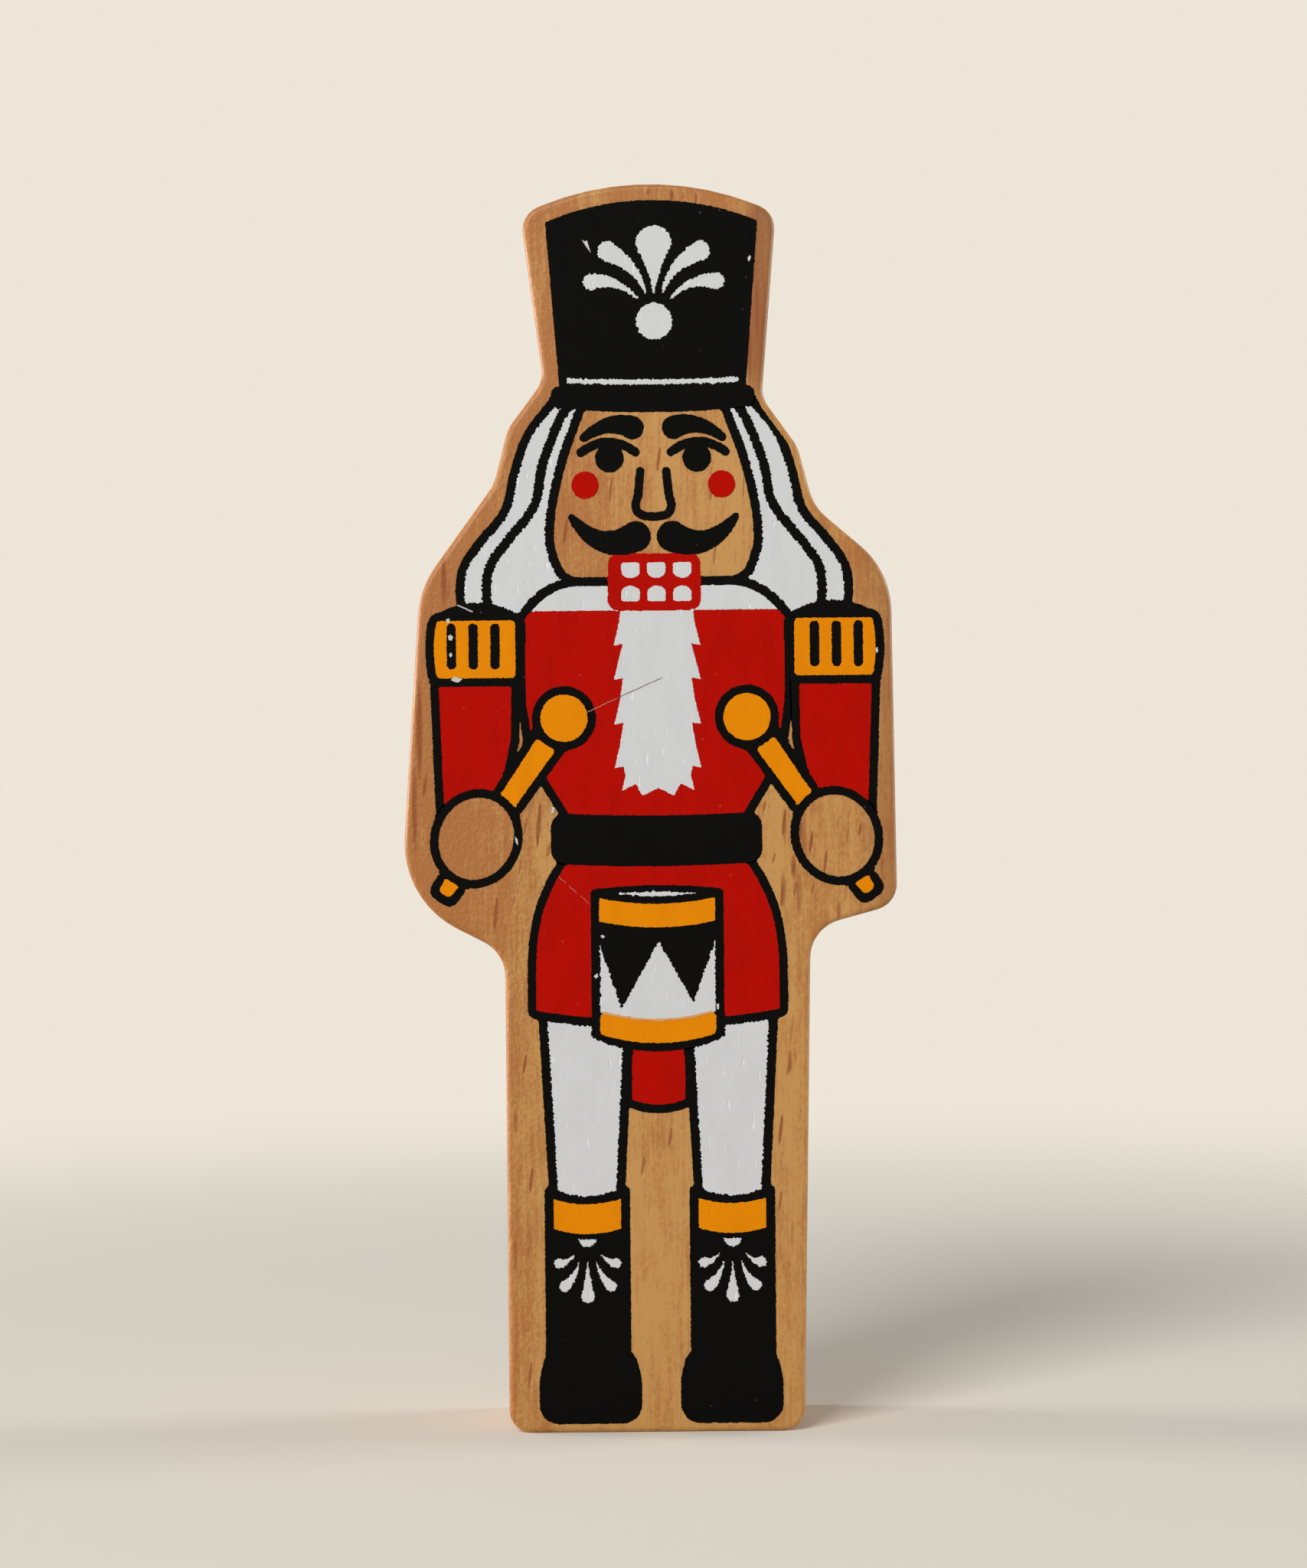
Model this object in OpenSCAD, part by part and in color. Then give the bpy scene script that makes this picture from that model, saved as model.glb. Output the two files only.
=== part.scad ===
// Flat wooden toy soldier with a drum. The board is sawn to the outline of the figure, its
// edges are sanded round, and the figure is printed on the front in white, gold, red and black.
// X runs across the figure, Y from the printed front to the bare back, Z upwards.
// The origin is in the middle of the foot of the figure. Sizes are in millimetres.
// Left and right are those of a person who looks at the printed front.

/* [Board] */
// Thickness of the board
board_t = 18; // [12:0.5:25]
// Radius of the sanded edges, front and back
edge_r = 0.7; // [0.4:0.1:0.9]
// Radius of the two corners at the foot
base_corner_r = 2.5; // [1:0.1:4]
// Radius of the two corners at the top of the hat
hat_corner_r = 2.8; // [1:0.1:3.4]
// Radius in the armpits
armpit_r = 4.5; // [2:0.1:6]
// Radius under the left hand
left_arm_r = 11; // [3:0.1:12]
// Radius under the right hand
right_arm_r = 3; // [2:0.1:8]
// Radius over the left shoulder
left_shoulder_r = 11; // [4:0.5:14]
// Radius over the right shoulder
right_shoulder_r = 10; // [4:0.5:14]
// Radius of the hollows beside the hair
hair_hollow_r = 6; // [3:0.5:8]
// Radius beside the temples
temple_r = 5; // [2:0.5:7]
// Radius of the hollows beside the brim
neck_r = 3.5; // [2:0.1:5]
// Slope of the edge under the left arm, in degrees
left_under_slope = 27; // [10:1:30]
// Slope of the edge under the right arm, in degrees
right_under_slope = 15; // [10:1:30]

/* [Shoulders and head of the board] */
// Left shoulder, drawn in from the edge beside the hand
left_shoulder_in = 2.4; // [0:0.1:4]
// Right shoulder, drawn in from the edge beside the hand
right_shoulder_in = 0.4; // [0:0.1:3]
// Left shoulder above the collar
left_shoulder_h = 2.7; // [2:0.1:5]
// Right shoulder above the collar
right_shoulder_h = 4.2; // [2:0.1:6]
// Left hollow above the narrowest part of the hair
left_hollow_h = 1.1; // [0:0.1:3]
// Right hollow below the narrowest part of the hair
right_hollow_drop = 1.7; // [0:0.1:3]
// Left temple, drawn in from the hollow
left_temple_in = 1.6; // [0.5:0.1:2.5]
// Right temple, drawn in from the hollow
right_temple_in = 1.8; // [0.5:0.1:2.5]
// Left temple below the brim
left_temple_drop = 1.7; // [1:0.1:5]
// Right temple below the brim
right_temple_drop = 3.9; // [1:0.1:5]
// Left hollow above the lower edge of the brim
left_neck_h = 3.7; // [1:0.1:5]
// Right hollow above the lower edge of the brim
right_neck_h = 1.6; // [1:0.1:5]
// Corners at the top, above the side of the hat
hat_corner_h = 1; // [0.6:0.1:2]

/* [Bare rim around the print] */
// Below the boots
sole_rim = 1; // [1:0.1:3]
// Above the hat
top_rim = 1.9; // [1.2:0.1:4]
// Left of the boots
left_leg_rim = 3.4; // [1.5:0.1:5]
// Right of the boots
right_leg_rim = 2.4; // [1.5:0.1:5]
// Left of the skirt
left_skirt_rim = 2.5; // [1.5:0.1:5]
// Right of the skirt
right_skirt_rim = 2.6; // [1.5:0.1:5]
// Under the left drumstick
left_under_rim = 1.4; // [1:0.1:3]
// Under the right drumstick
right_under_rim = 0.6; // [0.5:0.1:3]
// Left of the left hand
left_hand_rim = 3.4; // [1.2:0.1:5]
// Right of the right hand
right_hand_rim = 1.6; // [1.2:0.1:5]
// Left of the hair
left_hair_rim = 1.3; // [1.2:0.1:3]
// Right of the hair
right_hair_rim = 1.4; // [1.2:0.1:3]
// Beside the brim of the hat
brim_rim = 0.8; // [0.8:0.1:3]
// Left of the top of the hat
left_hat_rim = 2.8; // [1.2:0.1:5]
// Right of the top of the hat
right_hat_rim = 2.1; // [1.2:0.1:5]

/* [Ink] */
// Thickness of the ink
ink_t = 0.12; // [0.06:0.01:0.3]
// Width of the black lines
line_w = 1; // [0.7:0.05:1.3]
// Clearance between neighbouring inks
ink_gap = 0.02; // [0.01:0.01:0.04]

/* [Boots] */
// Height of a boot
boot_h = 27; // [24:0.1:32]
// Width of a boot at the calf
boot_w = 9.6; // [9:0.1:10.4]
// Width of a boot at the foot
foot_w = 11.5; // [11:0.1:12.6]
// Height of the foot
foot_h = 8.6; // [7:0.1:11]
// Radius of the corners of the foot
foot_r = 2.2; // [1:0.1:3]
// Foot, moved in from the middle of the boot
foot_in = 0.2; // [0:0.05:0.5]
// Dip of the upper edge of a boot
cuff_dip = 1.5; // [0.5:0.1:1.8]
// Width of the gold band
band_w = 7.5; // [6:0.1:8.4]
// Height of the gold band
band_h = 3.3; // [2:0.1:3.6]
// Dip of the gold band
band_dip = 0.6; // [0.3:0.1:0.9]
// Black above the gold band
band_drop = 0.9; // [0.6:0.1:1.6]
// Crest on the boot, below the gold band
boot_crest_drop = 0.5; // [0.3:0.05:1.2]
// Width of the ball in the crest
boot_ball_d = 2.2; // [1.6:0.1:2.6]
// Height of the crest
boot_crest_h = 7.35; // [6:0.05:8]
// Half of the spread of the crest
boot_crest_reach = 3.2; // [2.6:0.1:3.6]
// Width of the middle drop in the crest
boot_drop_d = 1.7; // [1.2:0.1:2]

/* [Trousers] */
// Visible height of the trousers
trouser_h = 17.8; // [16:0.1:24]
// White of a leg, drawn in from the end of the hem
thigh_in = 1.15; // [0.5:0.05:2]
// Slant of each side of a leg, from the hem to the boot
leg_taper = 1.125; // [0.6:0.025:1.6]

/* [Coat] */
// Height of the skirt
skirt_h = 18; // [16:0.1:22]
// Width of the red skirt at the hem
hem_w = 27.2; // [25:0.1:30]
// Dip of the hem in the middle
hem_dip = 1.15; // [0.5:0.05:1.6]
// Width of the red skirt at the belt
waist_w = 19.6; // [17:0.1:21]
// Height of the belt
belt_h = 5.75; // [4.5:0.05:7]
// Reach of the belt beyond the waist
belt_over = 2.05; // [1.2:0.05:2.5]
// Dip of the belt in the middle
belt_dip = 0.4; // [0.2:0.1:1]
// Height of the chest, from belt to collar
chest_h = 22.55; // [22:0.05:26]
// Width of the red chest at the shoulders
chest_w = 29.2; // [28:0.1:30]
// Height of the collar
collar_h = 2.8; // [2.4:0.1:4]
// Width of the red coat tail
tail_w = 5.9; // [5:0.1:7]
// Red of the coat tail, tucked behind the lines of the legs
tail_tuck = 0.15; // [0.05:0.05:0.6]
// Length of the coat tail under the hem
tail_l = 9.05; // [8:0.05:12]

/* [Beard] */
// Width of the beard without its tufts
beard_w = 8.2; // [6.5:0.1:9.5]
// Length of the beard below the collar
beard_l = 20.8; // [20:0.1:21.4]
// Reach of the tufts
tuft_w = 0.8; // [0.5:0.1:1.2]

/* [Arms] */
// Black between the red of the chest and of a sleeve
sleeve_gap = 1.5; // [1.2:0.1:2.5]
// Width of a red sleeve
sleeve_w = 8.2; // [7:0.1:8.6]
// Width of the gold in an epaulette
epaulette_w = 9.1; // [8.4:0.1:9.6]
// Height of the gold in an epaulette
epaulette_h = 6.4; // [5:0.1:7.5]
// Rise of the black cap over an epaulette
epaulette_cap = 1.65; // [1:0.05:2]
// Bow of the outer side of an epaulette
epaulette_bow = 0.35; // [0.1:0.05:0.6]
// Width of the black bars in an epaulette
bar_w = 1.1; // [0.8:0.1:1.5]
// Distance between the black bars
bar_pitch = 2.45; // [2.2:0.05:2.8]
// Bars, moved out from the middle of an epaulette
bar_shift = 0.15; // [0:0.05:0.4]
// Middle of the hand below the collar
hand_drop = 25.4; // [24:0.1:28]
// Width of a hand
hand_w = 8.3; // [7.6:0.1:9.2]
// Height of a hand
hand_h = 9.3; // [8.4:0.1:10.4]
// Tilt of a hand, in degrees
hand_tilt = 22; // [0:1:30]

/* [Drumsticks] */
// Distance between the heads of the drumsticks
head_pitch = 20.5; // [19:0.1:22]
// Heads of the drumsticks below the collar
head_drop = 12; // [10.5:0.1:13.5]
// Drumsticks, towards the middle from the middle of the hand
grip_in = 0.65; // [0:0.05:1.5]
// Width of the gold in a head
head_d = 5.3; // [4.5:0.1:6]
// Width of the gold in a shaft, at the head
shaft_w = 2.6; // [2:0.1:3]
// Width of the gold in a shaft, at its end
butt_w = 1.5; // [1.2:0.1:2]
// Length from the middle of the head to the end of the shaft
stick_l = 23.9; // [23:0.1:24.6]

/* [Drum] */
// Width of the drum
drum_w = 14.95; // [13.4:0.05:16.4]
// Height of the side of the drum
drum_h = 16.55; // [15:0.05:18]
// Lower corner of the drum below the hem of the skirt
drum_drop = 1.45; // [1:0.05:3]
// Height of a hoop
hoop_h = 2.6; // [1.8:0.1:3]
// Bow of the hoops
hoop_bow = 1; // [0.5:0.1:1.6]
// Lower hoop above the lower corners of the drum
hoop_lift = 0.3; // [0.1:0.05:0.6]
// Rise of the upper edge of the drum
drum_rise = 0.45; // [0.2:0.05:0.8]
// Height of the white points on the shell
shell_h = 7.8; // [6:0.1:8.4]
// Width of the white drum head
drum_head_w = 8.8; // [7:0.1:10]

/* [Head] */
// Height of the face, from jaw to brim
face_h = 19.4; // [19:0.1:24]
// Width of the face under the brim
forehead_w = 15; // [14:0.1:17]
// Width of the face at the cheeks
face_w = 22.3; // [21:0.1:22.8]
// Width of the jaw
jaw_w = 19.6; // [18:0.1:20.4]
// Narrowest part of the hair above the jaw
hair_waist_h = 10.4; // [9:0.1:11.5]
// Width of the hair at its narrowest
hair_waist_w = 31.2; // [30:0.1:33]
// Width of the hair at its tips
hair_w = 42.8; // [41:0.1:45]

/* [Face] */
// Distance between the eyes
eye_pitch = 9.8; // [9.4:0.1:11]
// Width of a pupil
pupil_d = 3.25; // [2.6:0.05:3.8]
// Width of an eyelid between the middles of its ends
lid_w = 6.1; // [5.6:0.1:7]
// Thickness of an eyelid
lid_t = 1.05; // [0.6:0.05:1.2]
// Ends of an eyelid above the middle of the pupil
lid_lift = 0.65; // [0.4:0.05:1]
// Bend of an eyelid
lid_bow = 2.3; // [1.6:0.1:3]
// Eyelids, moved out from the middle of the eyes
lid_shift = 0.15; // [0:0.05:0.4]
// Eyes below the brim
eye_drop = 5.1; // [4.8:0.1:6.5]
// Distance between the eyebrows
brow_gap = 2; // [1:0.1:3]
// Eyebrows below the brim
brow_drop = 1.7; // [1.5:0.1:2.4]
// Length of an eyebrow between the middles of its ends
brow_l = 5.4; // [4.4:0.1:6]
// Bend of an eyebrow
brow_bow = 1.1; // [0.6:0.1:1.6]
// Width of an eyebrow at its thick end
brow_d = 2.7; // [2:0.1:3]
// Width of an eyebrow at its thin end
brow_tip = 1; // [0.5:0.1:1.2]
// Distance between the cheeks
cheek_pitch = 15.3; // [14:0.1:16]
// Width of a cheek
cheek_d = 3.1; // [2.4:0.1:3.6]
// Cheeks below the brim
cheek_drop = 8.1; // [7.8:0.1:9.5]
// Top of the nose below the brim, as a share of the height of the face
nose_top = 0.34; // [0.31:0.01:0.41]
// Foot of the nose above the moustache
nose_lift = 2.2; // [1.8:0.1:2.6]
// Width of the nose between its lines
nose_w = 2.9; // [2:0.1:3.6]
// Flare of the nostrils
nose_flare = 0.55; // [0.2:0.05:0.8]
// Height of the nostrils, as a share of the height of the nose
nostril_part = 0.255; // [0.18:0.005:0.31]
// Moustache above the jaw
moustache_lift = 5.5; // [5:0.1:6]
// Width of the moustache
moustache_w = 19.2; // [16:0.1:20]
// Distance between the halves of the moustache
moustache_gap = 0.6; // [0.4:0.1:1.2]
// Width of a half of the moustache at its thick end
moustache_d = 3.5; // [2.6:0.1:3.8]
// Width of the moustache at its tips
moustache_tip = 0.8; // [0.4:0.1:1]
// Rise of the tips of the moustache
moustache_rise = 2.2; // [1.4:0.1:3]
// Sag of the moustache
moustache_sag = 2.1; // [1.4:0.1:2.8]
// Top of the mouth above the jaw
mouth_lift = 3.6; // [3:0.1:4]
// Width of the mouth
mouth_w = 10.4; // [9:0.1:11]
// Height of the mouth
mouth_h = 6.4; // [5.8:0.1:7.2]
// Radius of the corners of the mouth
mouth_r = 1.2; // [0.6:0.1:1.8]
// Red between the rows of teeth
tooth_gap = 0.8; // [0.5:0.1:1.2]
// Width of a tooth
tooth_w = 2.1; // [1.6:0.1:2.5]
// Height of a tooth
tooth_h = 1.8; // [1.4:0.1:2]
// Distance between the teeth
tooth_pitch = 2.9; // [2.7:0.1:3.2]

/* [Hat] */
// Height of the brim
brim_h = 3; // [2.2:0.1:4]
// Reach of the brim beyond the cheeks
brim_over = 0.3; // [0:0.05:1]
// Dip of the brim in the middle
brim_dip = 0.6; // [0.3:0.1:1]
// Height of the side of the hat
hat_h = 18.4; // [17:0.1:24]
// Step from the brim to the side of the hat
hat_step = 1; // [0.5:0.05:1.8]
// Flare of the side of the hat
hat_flare = 1.45; // [0.5:0.05:2.4]
// Rise of the crown
crown_h = 2.4; // [1.5:0.1:3.5]
// Width of the white cord above the brim
cord_w = 0.6; // [0.4:0.05:1]
// Ball of the crest above the brim
crest_lift = 7.2; // [6:0.1:7.6]
// Width of the ball of the crest
crest_ball_d = 4.1; // [3.2:0.1:4.8]
// Foot of the crest above the middle of its ball
crest_foot = 3.2; // [2.6:0.1:3.6]
// Height of the crest above the middle of its ball
crest_h = 10.75; // [9.5:0.05:11]
// Width of the middle drop of the crest
crest_drop_d = 4.2; // [3:0.1:4.6]
// Width of the drops beside it
crest_side_d = 2.3; // [1.6:0.1:2.8]
// Width of the thin ends of the drops
drop_tip = 0.3; // [0.2:0.05:0.5]
// Half of the spread of the crest
crest_reach = 7; // [6:0.1:7.6]
// Crest, teeth and beard, printed to the right of the middle
white_shift = 0.25; // [0:0.05:0.4]

/* [Hidden] */
$fa = 8;
$fs = 0.12;
corner_steps = 9;
edge_steps = 4;
white_ink = [0.84, 0.84, 0.83];
gold_ink = [0.9, 0.55, 0.05];
red_ink = [0.7, 0.07, 0.03];
black_ink = [0.06, 0.06, 0.06];
bare_wood = [0.76, 0.55, 0.33];
left = 0;
right = 1;

// Heights, from the foot of the board upwards
z_boot = sole_rim + boot_h;
z_hem = z_boot + trouser_h;
z_waist = z_hem + skirt_h;
z_chest = z_waist + belt_h;
z_collar = z_chest + chest_h;
z_jaw = z_collar + collar_h;
z_brim = z_jaw + face_h;
z_hat = z_brim + brim_h;
z_hat_top = z_hat + hat_h;
z_top = z_hat_top + crown_h + top_rim;

// Places that several shapes share
tail_x = tail_w / 2;
thigh_w = hem_w / 2 - thigh_in - tail_x - line_w + tail_tuck;
knee_w = thigh_w - 2 * leg_taper;
leg_x = hem_w / 2 - thigh_in - thigh_w / 2;
belt_w = waist_w + 2 * belt_over;
brim_w = face_w + 2 * brim_over;
hat_base_w = brim_w - 2 * hat_step;
hat_top_w = hat_base_w + 2 * hat_flare;
arm_x = chest_w / 2 + sleeve_gap + sleeve_w / 2;
hand_z = z_collar - hand_drop;
head = [head_pitch / 2, z_collar - head_drop];
aim = [arm_x - grip_in, hand_z] - head;
stick_dir = aim / norm(aim);
butt = head + stick_dir * stick_l;
butt_r = butt_w / 2 + line_w;
hair_x = hair_w / 2;
hair_waist_x = hair_waist_w / 2;
hair_waist_z = z_jaw + hair_waist_h;
hair_tip_z = z_jaw - line_w / 3;
mouth_z = z_jaw + mouth_lift;
moustache_z = z_jaw + moustache_lift;
drum_z = z_hem - drum_drop;
drum_x = drum_w / 2 - line_w;

// Outline of the board, as pairs for the left and the right side
board_leg = leg_x - foot_in + foot_w / 2;
board_skirt = hem_w / 2 + line_w;
board_hand = arm_x + hand_w / 2 + line_w;
board_hair = hair_waist_x + line_w;
leg_edge = [board_leg + left_leg_rim, board_leg + right_leg_rim];
skirt_edge = [board_skirt + left_skirt_rim, board_skirt + right_skirt_rim];
arm_edge = [board_hand + left_hand_rim, board_hand + right_hand_rim];
hair_edge_x = [board_hair + left_hair_rim, board_hair + right_hair_rim];
hat_edge = [hat_top_w / 2 + left_hat_rim, hat_top_w / 2 + right_hat_rim];
arm_r = [left_arm_r, right_arm_r];
shoulder_r = [left_shoulder_r, right_shoulder_r];
shoulder_x = arm_edge - [left_shoulder_in, right_shoulder_in];
shoulder_z = [z_collar + left_shoulder_h, z_collar + right_shoulder_h];
hair_hollow_z = [hair_waist_z + left_hollow_h, hair_waist_z - right_hollow_drop];
temple_x = hair_edge_x - [left_temple_in, right_temple_in];
temple_z = [z_brim - left_temple_drop, z_brim - right_temple_drop];
neck_z = [z_brim + left_neck_h, z_brim + right_neck_h];
under_tan = [tan(left_under_slope), tan(right_under_slope)];
under_z = [butt.y - butt_r - left_under_rim, butt.y - butt_r - right_under_rim];
hat_corner_z = z_hat_top + hat_corner_h;
crown_part = 0.85;
crown_z = hat_corner_z + (z_top - hat_corner_z) / (1 - crown_part / 2);
crown_w = (hat_edge[left] + hat_edge[right]) / 2;
crown_r = crown_part * crown_w / sin(atan((crown_z - hat_corner_z) / crown_w));

// Height of the edge under an arm, at x
function under(side, x) = under_z[side] + (x - butt.x) * under_tan[side];

// Corners of one side of the board from the foot up: across, height and radius
function side_corners(side) = [
    [leg_edge[side], 0, base_corner_r],
    [skirt_edge[side], under(side, skirt_edge[side]), armpit_r],
    [arm_edge[side], under(side, arm_edge[side]), arm_r[side]],
    [shoulder_x[side], shoulder_z[side], shoulder_r[side]],
    [hair_edge_x[side], hair_hollow_z[side], hair_hollow_r],
    [temple_x[side], temple_z[side], temple_r],
    [brim_w / 2 + brim_rim, neck_z[side], neck_r],
    [hat_edge[side], hat_corner_z, hat_corner_r]
];

board_corners = concat(
    side_corners(right),
    [[(hat_edge[right] - hat_edge[left]) / 2, crown_z, crown_r]],
    [for (c = backwards(side_corners(left))) [-c.x, c.y, c.z]]
);
cut_line = rounded(board_corners);
cut_xs = [for (p = cut_line) p.x];

// The print sits right of the middle of the board, and the ink lies on its front
axis_x = -(max(cut_xs) + min(cut_xs)) / 2;
front_y = ink_t - (board_t + ink_t) / 2;

// Lists of points

function backwards(list) = [for (i = [len(list) - 1:-1:0]) list[i]];
function flipped(points) = [for (p = backwards(points)) [-p.x, p.y]];
function at(list, i) = list[(i + len(list)) % len(list)];
function flat(c) = [c.x, c.y];
function unit(v) = v / norm(v);
function wrap(a) = a > 180 ? a - 360 : a < -180 ? a + 360 : a;
function polar(r, a) = [r * cos(a), r * sin(a)];

// Length of edge that a rounded corner takes up
function taken(c, i) =
    let (a = unit(flat(at(c, i - 1)) - flat(c[i])), b = unit(flat(at(c, i + 1)) - flat(c[i])))
    c[i].z / tan(acos(a * b) / 2);

// Share of a corner's radius that the edges beside it leave room for
function room(c, need, i) =
    let (before = norm(flat(at(c, i - 1)) - flat(c[i])), after = norm(flat(at(c, i + 1)) - flat(c[i])))
    min(1, before / (at(need, i - 1) + need[i]), after / (at(need, i + 1) + need[i]));

// Arc of radius r in the corner b between a and c
function corner(a, b, c, r) =
    let (
        u = unit(a - b),
        v = unit(c - b),
        half = acos(u * v) / 2,
        mid = b + unit(u + v) * r / sin(half),
        from = b + u * r / tan(half) - mid,
        to = b + v * r / tan(half) - mid,
        start = atan2(from.y, from.x),
        turn = wrap(atan2(to.y, to.x) - start)
    )
    [for (i = [0:corner_steps]) mid + polar(r, start + turn * i / corner_steps)];

// Closed outline with rounded corners, from a list of across, height and radius
function rounded(c) =
    let (need = [for (i = [0:len(c) - 1]) taken(c, i)])
    [for (i = [0:len(c) - 1])
        each corner(flat(at(c, i - 1)), flat(c[i]), flat(at(c, i + 1)), c[i].z * 0.98 * room(c, need, i))];

// Smooth line through all points of a list
function spline(p, n = 6) = [
    for (i = [0:len(p) - 2], j = [0:n - 1])
        let (
            t = j / n,
            a = i > 0 ? p[i - 1] : 2 * p[0] - p[1],
            b = p[i],
            c = p[i + 1],
            d = i < len(p) - 2 ? p[i + 2] : 2 * c - b
        )
        (2 * b + (c - a) * t + (2 * a - 5 * b + 4 * c - d) * t * t + (3 * b - a - 3 * c + d) * t * t * t) / 2,
    p[len(p) - 1]
];

// Points on the straight line from a to b
function straight(a, b, n = 10) = [for (i = [0:n]) a + (b - a) * i / n];

// Curve from a to c that leans towards b
function bent(a, b, c, n = 14) =
    [for (i = [0:n]) let (t = i / n) (1 - t) * (1 - t) * a + 2 * t * (1 - t) * b + t * t * c];

// Bowed line from w to -w at height z, with the given rise in the middle
function bow(w, z, rise, n = 24) =
    let (r = (w * w + rise * rise) / (2 * rise), half = asin(w / r))
    [for (i = [0:n]) let (a = half * (1 - 2 * i / n)) [r * sin(a), z + rise - r + r * cos(a)]];

// Direction across a line of points, at point i
function across(p, i) =
    let (d = unit(p[min(i + 1, len(p) - 1)] - p[max(i - 1, 0)])) [-d.y, d.x];

// Half circle at point i of a line, from one side round its end to the other
function cap(p, i, r, turn) =
    let (n = across(p, i), start = atan2(n.y, n.x) + turn)
    [for (k = [1:9]) p[i] + polar(r, start - 18 * k)];

// Closed outline of a line of points with round ends and a width that runs from w0 to w1
function drop(p, w0, w1, flare = 1) =
    let (
        n = len(p) - 1,
        r = [for (i = [0:n]) (w0 + (w1 - w0) * pow(i / n, flare)) / 2]
    )
    concat(
        [for (i = [0:n]) p[i] + across(p, i) * r[i]],
        cap(p, n, r[n], 0),
        [for (i = [n:-1:0]) p[i] - across(p, i) * r[i]],
        cap(p, 0, r[0], 180)
    );

// Drawing helpers

module both_sides() {
    children();
    mirror([1, 0])
        children();
}

module on(side) {
    if (side == right)
        children();
    else
        mirror([1, 0])
            children();
}

module lined()
    offset(r = line_w)
        children();

module softened(r)
    offset(r = r)
        offset(delta = -r)
            children();

// Line of points drawn with round ends
module stroke(p, w0, w1, flare = 1)
    polygon(drop(p, w0, w1, flare));

// Band between two heights, bowed downwards
module band(w, low, high, dip)
    polygon(concat(bow(w, high, -dip), backwards(bow(w, low, -dip))));

// Shape that is the same on both sides of the axis, from its right-hand edge
module symmetrical(edge)
    polygon(concat(edge, flipped(edge)));

// Flat part of the front of the board, where ink can lie
module printable()
    translate([-axis_x, 0])
        offset(delta = -edge_r - ink_gap)
            polygon(board_outline);

// A film of ink on the front of the board
module film(ink)
    color(ink)
        translate([axis_x, front_y, 0])
            rotate([90, 0, 0])
                linear_extrude(ink_t)
                    intersection() {
                        offset(delta = -ink_gap / 2)
                            children();
                        printable();
                    }

// Hat

module hat_shape() {
    symmetrical(concat(
        [[hat_base_w / 2, z_hat - 0.3]],
        [for (p = bow(hat_top_w / 2, z_hat_top, crown_h)) if (p.x >= 0) p]
    ));
    softened(1)
        polygon(concat(
            [[-brim_w / 2, z_hat], [brim_w / 2, z_hat]],
            bow(brim_w / 2, z_brim + brim_dip, -brim_dip)
        ));
}

module cord_shape()
    band(hat_base_w / 2 - 0.8, z_hat + 0.3, z_hat + 0.3 + cord_w, 0.2);

module crest_shape() {
    translate([white_shift, z_hat + crest_lift]) {
        circle(d = crest_ball_d);
        stroke(straight(
            [0, crest_foot],
            [0, crest_h - crest_drop_d / 2]
        ), drop_tip, crest_drop_d, 1.5);
        both_sides() {
            stroke(bent(
                [0.14 * crest_reach, crest_foot],
                [0.24 * crest_reach, 0.57 * crest_h],
                [0.74 * crest_reach, 0.73 * crest_h]
            ), drop_tip, crest_side_d, 1.3);
            stroke(bent(
                [0.27 * crest_reach, 0.81 * crest_foot],
                [0.6 * crest_reach, 0.46 * crest_h],
                [crest_reach, 0.415 * crest_h]
            ), drop_tip, 0.83 * crest_side_d, 1.2);
        }
    }
}

// Hair

hair_edge = [
    [brim_w / 2, z_brim] + hair_waist_h * [-0.091, 0.125],
    [brim_w / 2, z_brim] + hair_waist_h * [0.197, -0.24],
    [hair_waist_x, hair_waist_z] + hair_waist_h * [-0.058, 0.25],
    [hair_waist_x, hair_waist_z] + hair_waist_h * [0.058, -0.202],
    [hair_x, hair_tip_z] + hair_waist_h * [-0.25, 0.519],
    [hair_x, hair_tip_z] + hair_waist_h * [-0.058, 0.25],
    [hair_x, hair_tip_z] + hair_waist_h * [-0.01, 0],
    [hair_x, hair_tip_z] + hair_waist_h * [-0.038, -0.269]
];

strand_edge = [
    [brim_w / 2, z_brim] + hair_waist_h * [-0.202, 0.087],
    [brim_w / 2, z_brim] + hair_waist_h * [-0.082, -0.106],
    [hair_waist_x, hair_waist_z] + hair_waist_h * [-0.308, 0.308],
    [hair_waist_x, hair_waist_z] + hair_waist_h * [-0.212, -0.135],
    [hair_x, hair_tip_z] + hair_waist_h * [-0.481, 0.524],
    [hair_x, hair_tip_z] + hair_waist_h * [-0.298, 0.269],
    [hair_x, hair_tip_z] + hair_waist_h * [-0.25, 0.029],
    [hair_x, hair_tip_z] + hair_waist_h * [-0.269, -0.269]
];

module hair_fill()
    polygon(concat(
        spline(hair_edge),
        [[jaw_w / 2 - 1, z_collar - 1], [forehead_w / 2 - 1, z_brim + 1]]
    ));

module strand_shape()
    stroke(spline(strand_edge), line_w, line_w);

module hair_cover() {
    hat_shape();
    face_area();
    coat_area();
    epaulette_area();
}

// Face

face_edge = [
    [forehead_w / 2, z_brim + 0.03 * face_h],
    [0.433 * face_w, z_brim - 0.273 * face_h],
    [0.4865 * face_w, z_brim - 0.531 * face_h],
    [face_w / 2, z_jaw + line_w + 0.273 * face_h],
    [0.4955 * face_w, z_jaw + line_w + 0.17 * face_h],
    [0.515 * jaw_w, z_jaw + line_w + 0.041 * face_h],
    [0.45 * jaw_w, z_jaw + line_w]
];

module face_fill()
    symmetrical(backwards(spline(face_edge)));

module face_area()
    lined()
        face_fill();

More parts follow.
